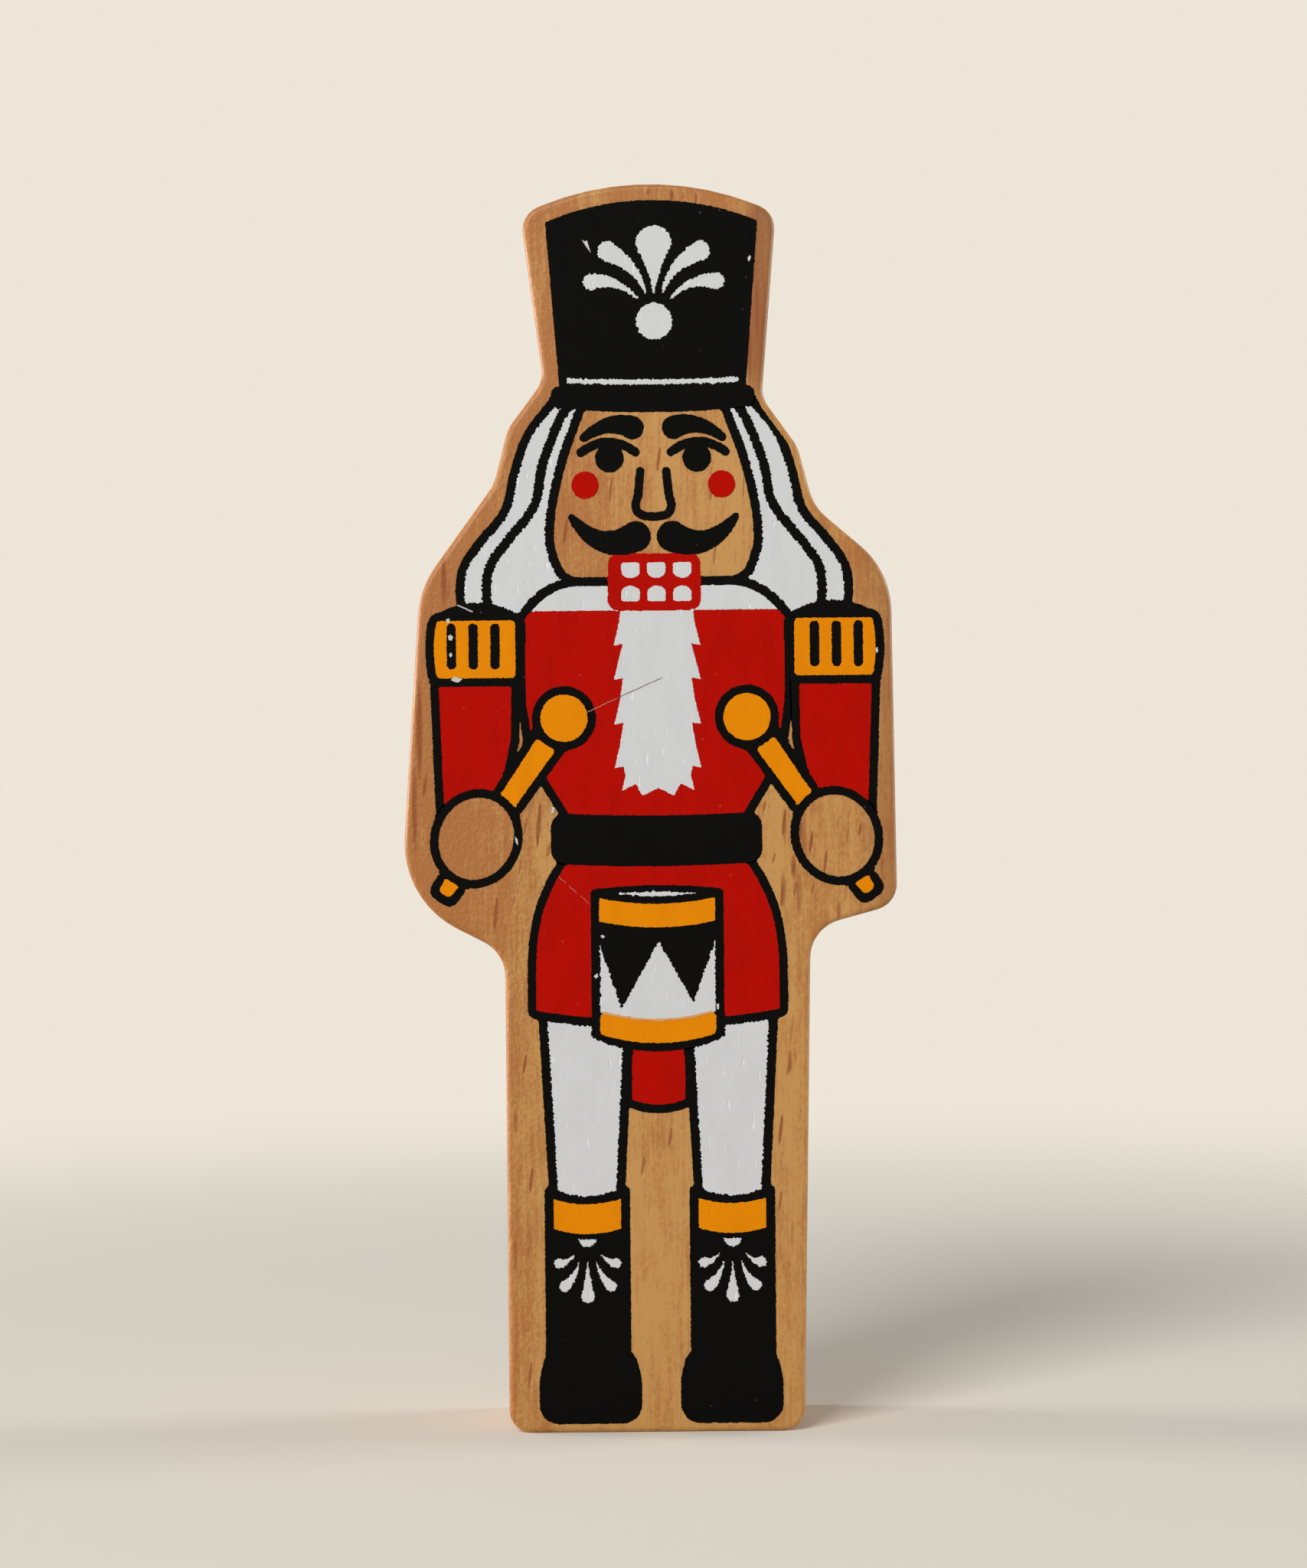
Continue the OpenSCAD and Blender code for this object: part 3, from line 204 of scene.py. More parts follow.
# Chips in the print: corners in x and z
CHIP_RISE = 0.122
CHIPS = (
    ((-7.1, 133.7), (-6.8, 133.5), (-6.5, 133.6), (-6.4, 133.2), (-6.1, 132.2), (-6.6, 132.9), (-6.8, 133.2)),
    ((11.45, 131.5), (11.7, 131.8), (11.85, 131.6), (11.7, 131.2), (11.55, 131.1)),
    ((-22.5, 89.4), (-22.2, 89.6), (-21.9, 89.3), (-22.1, 88.9), (-22.4, 89.0)),
    ((-22.4, 87.3), (-22.2, 87.6), (-22.0, 87.3), (-22.2, 87.0)),
    ((-22.7, 91.3), (-22.3, 91.4), (-22.3, 90.9), (-22.6, 90.9)),
    ((-22.2, 84.5), (-21.8, 84.9), (-21.4, 84.7), (-20.9, 84.6), (-21.4, 84.2), (-21.8, 84.3)),
    ((-15.2, 66.9), (-14.9, 66.6), (-14.85, 65.9), (-15.1, 66.2)),
    ((-11.0, 70.2), (-10.7, 70.0), (-10.8, 69.5), (-11.1, 69.4)),
    ((-5.7, 55.7), (-5.5, 55.8), (-5.2, 55.6), (-5.4, 55.4), (-5.6, 55.5)),
    ((-6.5, 51.2), (-6.1, 51.5), (-6.0, 51.1), (-6.3, 50.9)),
    ((7.2, 47.9), (7.5, 48.0), (7.5, 47.4), (7.3, 47.3)),
    ((25.4, 87.6), (25.6, 87.8), (25.7, 87.3), (25.5, 87.1)),
)

# Scratches over the print, dark on the white, pale on the red, white on the black: start, end, width
DARK_SCRATCHES = (((-3.6, 82.3), (1.55, 84.6), 0.09),)
PALE_SCRATCHES = (
    ((-7.05, 80.7), (-3.6, 82.3), 0.09),
    ((-10.35, 62.4), (-9.5, 61.6), 0.06),
    ((-9.2, 61.35), (-8.3, 60.5), 0.06),
    ((-7.9, 60.2), (-6.95, 59.3), 0.05),
)
WHITE_SCRATCHES = (((-21.45, 92.9), (-19.65, 92.1), 0.13),)

# How a scratch runs: its steps, how far it wanders, its half width's least and added share, its tips
SCRATCH_SEED = 5
SCRATCH_STEPS = 14
SCRATCH_WANDER = 0.03
SCRATCH_LEAST = 0.25
SCRATCH_SWELL = (0.5, 0.9)
SCRATCH_TIP = 0.12

# Wood colours: pale and warm grain, the painted shade of the right side, the pores
WOOD_PALE = (0.525, 0.262, 0.066, 1)
WOOD_WARM = (0.39, 0.135, 0.023, 1)
# Painted shade: the darker colour laid on the right side, away from the light
WOOD_PAINTED_SHADE = (0.24, 0.075, 0.016, 1)
WOOD_PORE = (0.25, 0.055, 0.0, 1)

# Wood grain: size of its cells in x, y and z, levels of detail and their roughness
GRAIN_BROAD = ((5, 5, 22), 2, 0.5)
GRAIN_BLOTCH = ((2.2, 2.2, 5), 3, 0.6)
GRAIN_FIBRE = ((0.45, 0.45, 9), 4, 0.6)
GRAIN_FINE = ((0.16, 0.16, 0.8), 3, 0.65)
GRAIN_HIDE = ((0.45, 0.45, 0.55), 2, 0.6)

# How far each grain makes the wood warmer or paler, and the range of warmth between the two colours
BROAD_RANGE = (0.4, 0.72)
BROAD_WARMTH = 0.4
GRAIN_RANGE = (0.3, 0.7)
BLOTCH_WARMTH = 0.22
FIBRE_WARMTH = 0.25
FINE_WARMTH = 0.18
HIDE_WARMTH = 0.15
WARMTH_RANGE = (-0.1, 1.0)

# Places that are warmer: the stretch of x or z where the warmth rises or falls, and how much it is; at the
# hat's top the warmth is painted shade
HEAD_Z = (88, 96)
FACE_TOP_Z = (106, 112)
WARM_LEFT_X = (-21, -7)
WARM_LEFT = 0.9
WARM_RIGHT_X = (14, 20)
WARM_RIGHT = 0.35
# Painted shade: the hat's top made darker to even out the lamps' brighter light up there
PAINTED_SHADE_TOP_Z = (128, 138)
PAINTED_SHADE_TOP = 0.5
WARM_HEAD_X = (-9, -3)
WARM_FACE_X = (-9, 5)
WARM_FACE = 0.75

# Painted shade: the hat's right side and the right arm, which turn away from the light, are made darker
PAINTED_SHADE_HAT_X = (10, 13)
PAINTED_SHADE_HAT_Z = (112, 120)
PAINTED_SHADE_HAT = 0.75
PAINTED_SHADE_ARM_X = (22, 27)
PAINTED_SHADE_ARM = 0.42

# Places and streaks that belong to the front fade over the board's depth to this share
FRONT_Y = (-8, 8)
BACK_SHARE = 0.3

# Scattered streaks: cells, width and chance as shares, strength
STREAK_CELL = (1.3, 1.3, 7)
STREAK_WIDTH = (0.02, 0.26)
STREAK_CHANCE = (0.3, 0.75)
STREAK_SHARE = 0.75

# Seen streaks and pores: where a streak fades, the fibres that carry it, a pore's depth and strength
STREAK_FADE = (0.1, 1.2)
STREAK_FIBRE = (0.15, 0.5)
PORE_RANGE = (0.0, 0.65)
PORE_SHARE = 0.92

# The wood's surface: roughness, sheen, lacquer, and the height of the grain with its shares
WOOD_ROUGH = (0.42, 0.55)
WOOD_SPECULAR = 0.2
LACQUER = 0.6
LACQUER_ROUGH = 0.4
WOOD_RELIEF = 0.2
FIBRE_RELIEF = 0.15
FINE_RELIEF = 0.12
STREAK_RELIEF = 0.12
HIDE_X = (-16, -4)
HIDE_RELIEF = (1.0, 0.4)

# Ink colours: main tone, deeper tone, specks
INK_COLOURS = {
    "ink_white": ((0.625, 0.628, 0.632, 1), (0.595, 0.598, 0.60, 1), (0.36, 0.35, 0.33, 1)),
    "ink_gold": ((0.78, 0.245, 0.001, 1), (0.74, 0.225, 0.001, 1), (0.80, 0.40, 0.10, 1)),
    "ink_red": ((0.455, 0.0036, 0.0005, 1), (0.405, 0.0032, 0.0004, 1), (0.52, 0.14, 0.09, 1)),
    "ink_black": ((0.0032, 0.0032, 0.0029, 1), (0.0027, 0.0027, 0.0025, 1), (0.10, 0.095, 0.09, 1)),
}
# Painted highlight: the pale colour laid on the white ink's blisters
BLISTER_PAINTED_HIGHLIGHT = (0.80, 0.80, 0.80, 1)

# The inks' surface: sheen, roughness, depth of the blisters
INK_SPECULAR = {"ink_white": 0.2, "ink_gold": 0.04, "ink_red": 0.035, "ink_black": 0.03}
INK_ROUGH = (0.40, 0.52)
INK_DENT = {"ink_white": 0.05, "ink_gold": 0.02, "ink_red": 0.02, "ink_black": 0.015}

# Mottle and peel of the ink: cells across and up, levels of detail, range, strength
MOTTLE_CELL = (2.6, 7.0, 1)
MOTTLE_DETAIL = 3
MOTTLE_RANGE = (0.35, 0.75)
PEEL_CELL = (0.22, 0.40, 1)
PEEL_DETAIL = 2
PEEL_RANGE = (0.35, 0.7)
PEEL_SHARE = 0.35
PEEL_RELIEF = 0.15

# Specks and blisters of the ink: cells across and up, chance or range, size, strength; the blisters' strength
# is their painted highlight on the white ink
SPECK_CELL = (3.1, 3.7, 1)
SPECK_CHANCE = (0.6, 1.0)
SPECK_SIZE = 0.04
SPECK_SHARE = 0.5
BLISTER_CELL = (0.55, 2.4, 1)
BLISTER_DETAIL = 1
BLISTER_RANGE = (0.66, 0.76)
BLISTER_HIGHLIGHT_SHARE = 0.8

# Worn spots: colours, and the powdery grain of all of them
CHIP_WHITE = (0.62, 0.615, 0.59, 1)
SCRATCH_DARK = (0.16, 0.15, 0.14, 1)
SCRATCH_PALE = (0.52, 0.22, 0.17, 1)
POWDER_CELL = (0.12, 0.2, 1)
POWDER_DETAIL = 3
POWDER_RANGE = (0.35, 0.7)
POWDER_DARK = 0.72
POWDER_ROUGH = 0.7
POWDER_SPECULAR = 0.2
POWDER_RELIEF = 0.02

# Studio: pale backdrop, its fill on the object, the floor, where it fades into the backdrop, its grain
BACKDROP = (0.85, 0.79, 0.69, 1)
FILL = (0.95, 0.98, 1.0, 1)
FILL_STRENGTH = 0.22
FLOOR = (0.80, 0.745, 0.655, 1)
FLOOR_RADIUS = 6000.0
FLOOR_SIDES = 96
FLOOR_FADE = (110.0, 420.0)
FLOOR_CELL = (3, 3, 3)
FLOOR_DETAIL = 2
FLOOR_DARK = 0.985
FLOOR_ROUGH = 0.9

# Lamps: name, place, power in watts, width, colour
LAMPS = (
    ("key", (-620.0, -1160.0, 900.0), 18.6, 700.0, (0.965, 0.985, 1.0)),
    ("left", (-1420.0, 260.0, 240.0), 17.0, 420.0, (1.0, 0.98, 0.945)),
    ("right", (1420.0, 300.0, 420.0), 11.0, 600.0, (0.97, 0.985, 1.0)),
)
LAMP_AIM = (0.0, 0.0, 70.0)


def welded(node):
    """A node's points in millimetres, with shared corners merged, and its triangles."""
    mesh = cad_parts[node].data
    mesh.calc_loop_triangles()
    points = np.array([corner.co for corner in mesh.vertices]) / MM
    triangles = np.array([triangle.vertices for triangle in mesh.loop_triangles])
    merged, index = np.unique(np.round(points, MERGE_DIGITS), axis=0, return_inverse=True)
    return merged, index.reshape(-1)[triangles]


def front_outlines(node):
    """The closed outlines of a node's flat front, in x and z, with the solid on their left."""
    points, triangles = welded(node)
    at_front = points[:, 1] < points[:, 1].min() + FRONT_DEPTH
    edges = set()
    for a, b, c in triangles[at_front[triangles].all(axis=1)]:
        edges.update(((a, b), (b, c), (c, a)))
    following = dict(sorted(edge for edge in edges if edge[::-1] not in edges))
    outlines = []
    while following:
        corner = next(iter(following))
        loop = []
        while corner in following:
            loop.append(corner)
            corner = following.pop(corner)
        outlines.append(points[loop][:, [0, 2]])
    return outlines


def resampled(outline, step):
    """An outline with its sharp corners kept and even points between them."""
    ahead = np.roll(outline, -1, axis=0) - outline
    heading = np.arctan2(ahead[:, 1], ahead[:, 0])
    turn = heading - np.roll(heading, 1)
    turn = (turn + np.pi) % (2 * np.pi) - np.pi
    corners = np.flatnonzero(np.abs(turn) > CORNER)
    first = corners[0] if len(corners) else 0
    points = np.roll(outline, -first, axis=0)
    stops = sorted({(corner - first) % len(outline) for corner in corners} | {0})
    stops.append(len(outline))
    points = np.vstack((points, points[:1]))
    even = []
    for start, end in zip(stops, stops[1:]):
        stretch = points[start:end + 1]
        reach = np.concatenate(([0], np.cumsum(np.linalg.norm(np.diff(stretch, axis=0), axis=1))))
        count = max(1, round(reach[-1] / step))
        marks = np.linspace(0, reach[-1], count + 1)[:-1]
        even.append(np.column_stack([np.interp(marks, reach, stretch[:, k]) for k in (0, 1)]))
    return np.vstack(even)


def outward(outline):
    """Unit vectors out of the solid at each point of an outline."""
    along = np.roll(outline, -1, axis=0) - np.roll(outline, 1, axis=0)
    along = along / np.maximum(np.linalg.norm(along, axis=1), TOUCHING)[:, None]
    return np.column_stack((along[:, 1], -along[:, 0]))


def inside(points, outlines):
    """For each point, whether the outlines close round it."""
    crossings = np.zeros(len(points), int)
    for outline in outlines:
        for (ax, az), (bx, bz) in zip(outline, np.roll(outline, -1, axis=0)):
            if az == bz:
                continue
            level = (az > points[:, 1]) != (bz > points[:, 1])
            reach = ax + (points[:, 1] - az) * (bx - ax) / (bz - az)
            crossings += level & (points[:, 0] < reach)
    return crossings % 2 == 1


def filled(outlines, marks=(), lines=()):
    """Triangles between closed outlines, and the new points where the outlines cross themselves.

    The triangles are index triples into the outlines' points, then the marks, lines and new points.
    Marks are closed outlines and lines are open ones that lie inside, whose edges the triangles keep.
    """
    points = []
    edges = []
    for chain in (*outlines, *marks):
        start = len(points)
        points.extend(chain)
        count = len(chain)
        edges.extend((start + i, start + (i + 1) % count) for i in range(count))
    for chain in lines:
        start = len(points)
        points.extend(chain)
        edges.extend((start + i, start + i + 1) for i in range(len(chain) - 1))
    result = delaunay_2d_cdt([Vector(point) for point in points], edges, [], 0, TOUCHING)
    crossings = []
    index = []
    for place, origin in zip(result[0], result[3]):
        index.append(origin[0] if origin else len(points) + len(crossings))
        if not origin:
            crossings.append(tuple(place))
    triangles = np.array([[index[corner] for corner in face] for face in result[2]])
    middles = np.array([tuple(point) for point in (*points, *crossings)])[triangles].mean(axis=1)
    return triangles[inside(middles, outlines)], crossings


def new_piece(name, points, faces, smooth, material):
    """A mesh object from points in millimetres, with smooth shading on the faces marked for it."""
    mesh = bpy.data.meshes.new(name)
    mesh.from_pydata((np.array(points) * MM).tolist(), [], [list(map(int, face)) for face in faces])
    mesh.polygons.foreach_set("use_smooth", smooth)
    mesh.materials.append(material)
    mesh.update()
    piece = bpy.data.objects.new(name, mesh)
    bpy.context.scene.collection.objects.link(piece)
    return piece


def lofted(rings, depths, back, front):
    """A closed sheet: rings of outlines from the wood to the top, with the first and last ring filled.

    Each ring is a list of outlines in x and z, and each depth is the y of one ring. Back and front
    are what filled gives for the first and the last ring.
    """
    points = []
    faces = []
    smooth = []
    size = sum(len(outline) for outline in rings[0])
    for ring, depth in zip(rings, depths):
        for outline in ring:
            points.extend((x, depth, z) for x, z in outline)
    for level in range(len(rings) - 1):
        start = level * size
        for outline in rings[0]:
            count = len(outline)
            for i in range(count):
                a = start + i
                b = start + (i + 1) % count
                faces.append((a, b, b + size, a + size))
                smooth.append(True)
            start += count
    for (triangles, crossings), ring, turn in ((back, 0, -1), (front, len(rings) - 1, 1)):
        index = [ring * size + i for i in range(size)]
        index += [len(points) + i for i in range(len(crossings))]
        points.extend((x, depths[ring], z) for x, z in crossings)
        faces.extend(tuple(index[corner] for corner in triangle)[::turn] for triangle in triangles)
        smooth.extend([False] * len(triangles))
    return points, faces, smooth


def wave(x, y, z, length):
    """A slow change from 0 to 1 with a wave length."""
    return 0.5 + 0.5 * noise.noise(Vector((x, y, z)) / length)


def board_rings(shape, out, edge_r, thick):
    """The board's side as outlines from front to back, each with the depths of its points."""
    radius = np.array([edge_r * (1 - EDGE_WANDER * wave(x, EDGE_SLICE, z, EDGE_LENGTH)) for x, z in shape])
    rings = []
    for step in range(EDGE_STEPS + 1):
        angle = math.pi / 2 * step / EDGE_STEPS
        inset = radius * (1 - math.sin(angle))
        depth = radius * (1 - math.cos(angle))
        rings.append((shape - out * inset[:, None], depth))
    for step in range(1, WALL_STEPS):
        depth = thick * step / WALL_STEPS
        dent = np.array([SAND_WAVE * wave(x, depth, z, SAND_LENGTH) for x, z in shape])
        rings.append((shape - out * dent[:, None], np.full(len(shape), depth)))
    for ring, depth in rings[EDGE_STEPS::-1]:
        rings.append((ring, thick - depth))
    return rings


def pore_places(outline, rng):
    """Pores as x, z, length, width and strength: the ones seen first, then others clear of them."""
    places = list(PORES_SEEN)
    low = outline.min(axis=0)
    high = outline.max(axis=0)
    for _ in range(PORE_TRIES):
        x = rng.uniform(low[0], high[0])
        z = rng.uniform(low[1], high[1])
        size = (rng.uniform(*PORE_LENGTH), rng.uniform(*PORE_WIDTH), rng.uniform(*PORE_STRENGTH))
        places.append((x, z, *size))
    ends = []
    for x, z, length, *_ in places:
        ends.append([(x, z + length * share) for share in PORE_TESTS])
    ends = np.array(ends)
    within = inside(ends.reshape(-1, 2), [outline]).reshape(len(places), -1).all(axis=1)
    kept = []
    for place, points, held in zip(places, ends, within):
        gaps = np.linalg.norm(outline[:, None] - points[None], axis=2)
        clear = all(
            abs(place[0] - other[0]) > PORE_APART[0]
            or abs(place[1] - other[1]) > (place[2] + other[2]) / 2 + PORE_APART[1]
            for other in kept
        )
        if held and clear and gaps.min() > PORE_EDGE:
            kept.append(place)
    return kept


def pore_outline(x, z, length, width):
    """A spindle round a pore, and the line along its middle."""
    steps = [i / PORE_SIDES for i in range(1, PORE_SIDES)]
    lean = width * PORE_LEAN
    spine = [(x + lean * (share - 0.5), z + length * (share - 0.5)) for share in steps]
    half = [width / 2 * math.sin(math.pi * share) ** PORE_BLUNT for share in steps]
    bottom = (x - lean / 2, z - length / 2)
    top = (x + lean / 2, z + length / 2)
    right = [(px + reach, pz) for (px, pz), reach in zip(spine, half)]
    left = [(px - reach, pz) for (px, pz), reach in zip(spine, half)]
    return np.array([bottom, *right, top, *left[::-1]]), np.array(spine)


def pored_face(ring, level, inward, rng):
    """The inside of one face of the board: points of its pores, how hollow each is, and triangles.

    The triangles are index triples into the ring's points and then the pores' points.
    """
    places = pore_places(ring, rng)
    spindles = [pore_outline(*place[:4]) for place in places]
    marks = [mark for mark, _ in spindles]
    spines = [spine for _, spine in spindles]
    triangles, _ = filled([ring], marks, spines)
    points = [(x, level, z) for mark in marks for x, z in mark]
    hollow = [0.0] * len(points)
    for spine, (*_, strength) in zip(spines, places):
        points.extend((x, level + inward * PORE_DEPTH, z) for x, z in spine)
        hollow.extend([strength] * len(spine))
    return points, hollow, triangles


def board(material):
    """The sanded board: rounded edges of uneven radius, slightly wavy sides, pores in both faces."""
    low, high = (Vector(corner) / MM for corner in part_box("wood_board"))
    flat = max(front_outlines("wood_board"), key=len)
    edge_r = high.x - flat[:, 0].max()
    flat = resampled(flat, BOARD_STEP)
    out = outward(flat)
    rings = board_rings(flat + out * edge_r, out, edge_r, high.y - low.y)
    points = []
    for ring, depth in rings:
        points.extend((x, low.y + y, z) for (x, z), y in zip(ring, depth))
    count = len(flat)
    faces = []
    for level in range(len(rings) - 1):
        for i in range(count):
            a = level * count + i
            b = level * count + (i + 1) % count
            faces.append((b, a, a + count, b + count))
    smooth = [True] * len(faces)
    hollow = [0.0] * len(points)
    rng = random.Random(PORE_SEED)
    last = len(points) - count
    for ring, start, level, inward in ((rings[0][0], 0, low.y, 1), (rings[-1][0], last, high.y, -1)):
        inner, strengths, triangles = pored_face(ring, level, inward, rng)
        index = [*range(start, start + count), *range(len(points), len(points) + len(inner))]
        points.extend(inner)
        hollow.extend(strengths)
        faces.extend(tuple(index[corner] for corner in triangle)[::inward] for triangle in triangles)
        smooth.extend([False] * len(triangles))
    piece = new_piece("board", points, faces, smooth, material)
    piece.data.attributes.new("pore", "FLOAT", "POINT").data.foreach_set("value", hollow)
    return piece


def slot_of(node):
    """The record's slot for a printed node, by the colour in its name."""
    for colour in ("white", "gold", "red"):
        if f"_{colour}" in node:
            return f"ink_{colour}"
    return "ink_black"


def tree_of(shapes, slots):
    """A search tree of all points of the films of some inks, and the film that each point belongs to."""
    chosen = [(node, np.vstack(outlines)) for node, outlines in shapes.items() if slot_of(node) in slots]
    owners = [node for node, points in chosen for _ in points]
    tree = kdtree.KDTree(len(owners))
    for i, (x, z) in enumerate(np.vstack([points for _, points in chosen])):
        tree.insert((x, z, 0), i)
    tree.balance()
    return tree, owners


def softened(outline, reach):
    """An outline with its corners rounded: each point moves to the middle of its neighbourhood."""
    span = round(reach / INK_STEP)
    shifts = [np.roll(outline, shift, axis=0) for shift in range(-span, span + 1)]
    return np.mean(shifts, axis=0)


def ragged(outline, waves):
    """An outline moved in and out by the small unevenness of a print on wood."""
    shifts = []
    for x, z in outline:
        place = Vector((x, 0, z))
        shifts.append(sum(reach * noise.noise(place / length) for reach, length in waves))
    return outline + outward(outline) * np.array(shifts)[:, None]


def printed_edge(outline, node, tree, owners):
    """A film's edge: ragged where it shows, and tucked under the films that meet it there."""
    rough = slot_of(node) == "ink_white" and node not in SMOOTH_WHITES
    reach = ROUND_STICK if node.startswith("drumstick") else ROUND
    edge = ragged(softened(outline, reach), RAG_WHITE if rough else RAG)
    if node.startswith("boot_crest"):
        edge = edge - outward(edge) * CREST_THIN
    under = outline + outward(outline) * TUCK
    covered = []
    for x, z in outline:
        near = tree.find_range((x, z, 0), COVERED)
        covered.append(any(owners[i] != node for _, i, _ in near))
    return np.where(np.array(covered)[:, None], under, edge)


def film(name, edges, height, board_front, material):
    """A closed film of ink on the board, with rounded sides, sunk a little into the wood."""
    rings = [edges]
    depths = [board_front + INK_SUNK]
    for share, inset in FILM_SIDE:
        rings.append([edge - outward(edge) * inset for edge in edges])
        depths.append(board_front - height * share)
    return new_piece(name, *lofted(rings, depths, filled(rings[0]), filled(rings[-1])), material)


def worn(name, outlines, height, board_front, material):
    """Small closed flakes that lie on the print."""
    sheet = filled(outlines)
    depths = [board_front + INK_SUNK, board_front - height]
    return new_piece(name, *lofted([outlines, outlines], depths, sheet, sheet), material)


def thin_strip(outlines, board_front, material):
    """The pale upper edge of the lowest of some outlines, as a ribbon over it and its neighbour."""
    hoop = min(outlines, key=lambda outline: outline[:, 1].min())
    out = outward(hoop)
    upper = out[:, 1] > THIN_GOLD_FACING
    first = next(i for i in range(len(hoop)) if upper[i] and not upper[i - 1])
    order = [i % len(hoop) for i in range(first, first + upper.sum())]
    least, change = THIN_GOLD_SHARES
    shares = [least + change * noise.noise((x / THIN_GOLD_WAVE, 0, 0)) for x in hoop[order, 0]]
    low = hoop[order] - out[order] * THIN_GOLD_W * np.array(shares)[:, None]
    high = hoop[order] + out[order] * THIN_GOLD_OVER
    ribbon = np.vstack((high, low[::-1]))
    return worn("drum_hoop_thin_ink", [ribbon], THIN_GOLD_RISE, board_front, material)


def scratch_outline(start, end, width, rng):
    """A thin ribbon that wanders a little and tapers to both ends."""
    start = Vector(start)
    along = Vector(end) - start
    side = Vector((-along.y, along.x)).normalized()
    middle = []
    for i in range(SCRATCH_STEPS + 1):
        aside = rng.uniform(-SCRATCH_WANDER, SCRATCH_WANDER)
        middle.append(start + along * i / SCRATCH_STEPS + side * aside)
    half = [width / 2 * (SCRATCH_LEAST + rng.uniform(*SCRATCH_SWELL)) for _ in middle]
    half[0] = half[-1] = width * SCRATCH_TIP
    right = [point - side * reach for point, reach in zip(middle, half)]
    left = [point + side * reach for point, reach in zip(middle, half)]
    return np.array([tuple(point) for point in right + left[::-1]])


class Shader:
    """A material's nodes, with short ways to add textures whose sizes are in millimetres."""

    def __init__(self, name):
        self.material = bpy.data.materials.new(name)
        self.material.use_nodes = True
        self.tree = self.material.node_tree
        self.surface = self.tree.nodes["Principled BSDF"]
        self.place = self.add("ShaderNodeTexCoord", {}).outputs["Object"]
        parts = self.add("ShaderNodeSeparateXYZ", {0: self.place}).outputs
        self.x = parts["X"]
        self.y = parts["Y"]
        self.z = parts["Z"]
        self.flat = self.add("ShaderNodeCombineXYZ", {0: self.x, 1: self.z}).outputs[0]

    def put(self, socket, value):
        """Sets a socket to a value, or links it to another node."""
        if isinstance(value, bpy.types.NodeSocket):
            self.tree.links.new(value, socket)
        else:
            socket.default_value = value

    def add(self, kind, inputs, **settings):
        """A new node with its settings and inputs."""
        node = self.tree.nodes.new(kind)
        for name, value in settings.items():
            setattr(node, name, value)
        for key, value in inputs.items():
            self.put(node.inputs[key], value)
        return node

    def maths(self, operation, *values):
        """The result of a sum."""
        return self.add("ShaderNodeMath", dict(enumerate(values)), operation=operation).outputs[0]

    def cells(self, place, size):
        """A place counted in cells of a size."""
        per_cell = [1 / (length * MM) for length in size]
        node = self.add("ShaderNodeVectorMath", {0: place, 1: per_cell}, operation="MULTIPLY")
        return node.outputs[0]

    def clouds(self, place, size, detail, roughness=0.5):
        """Noise from 0 to 1 in cells of a size."""
        inputs = {"Vector": self.cells(place, size), "Scale": 1.0}
        inputs.update({"Detail": detail, "Roughness": roughness})
        return self.add("ShaderNodeTexNoise", inputs).outputs["Fac"]

    def dots(self, place, size, dimensions="3D"):
        """The distance to the nearest of scattered points, one in each cell, and a random colour for it."""
        inputs = {"Vector": self.cells(place, size), "Scale": 1.0}
        node = self.add("ShaderNodeTexVoronoi", inputs, voronoi_dimensions=dimensions)
        return node.outputs["Distance"], node.outputs["Color"]

    def ramp(self, value, low, high, start=0.0, end=1.0):
        """A smooth change from start, where the value is low, to end, where it is high."""
        inputs = {"Value": value, "From Min": low, "From Max": high, "To Min": start, "To Max": end}
        return self.add("ShaderNodeMapRange", inputs, interpolation_type="SMOOTHSTEP").outputs[0]

    def along(self, axis, stretch, start=0.0, end=1.0):
        """A smooth change over a stretch of an axis."""
        return self.ramp(axis, stretch[0] * MM, stretch[1] * MM, start, end)

    def mixed(self, share, one, other):
        """One colour with a share of another."""
        return self.add("ShaderNodeMix", {0: share, 6: one, 7: other}, data_type="RGBA").outputs[2]

    def bump(self, height, reach):
        """Raises the surface by a height from 0 to 1 times a reach."""
        inputs = {"Height": height, "Distance": reach * MM}
        self.put(self.surface.inputs["Normal"], self.add("ShaderNodeBump", inputs).outputs[0])

    def set(self, **inputs):
        """Sets the surface's own inputs, with spaces in their names written as underscores."""
        for name, value in inputs.items():
            self.put(self.surface.inputs[name.replace("_", " ")], value)


def darker(colour, share):
    """A colour with a share of its light."""
    return tuple(channel * share for channel in colour[:3]) + (1,)


def warm_and_shaded_places(s):
    """How much warmer the wood is by place: its left, the right arm and the face, and the hat's top, where
    the warmth is painted shade.
    """
    head = s.along(s.z, HEAD_Z)
    face = s.maths("MULTIPLY", head, s.along(s.z, FACE_TOP_Z, 1.0, 0.0))
    most = s.along(s.x, WARM_LEFT_X, WARM_LEFT, 0.0)
    others = (
        s.along(s.x, WARM_RIGHT_X, 0.0, WARM_RIGHT),
        # Painted shade: darker towards the hat's top
        s.along(s.z, PAINTED_SHADE_TOP_Z, 0.0, PAINTED_SHADE_TOP),
        s.maths("MULTIPLY", head, s.along(s.x, WARM_HEAD_X, WARM_FACE, 0.0)),
        s.maths("MULTIPLY", face, s.along(s.x, WARM_FACE_X, WARM_FACE, 0.0)),
    )
    for other in others:
        most = s.maths("MAXIMUM", most, other)
    return most


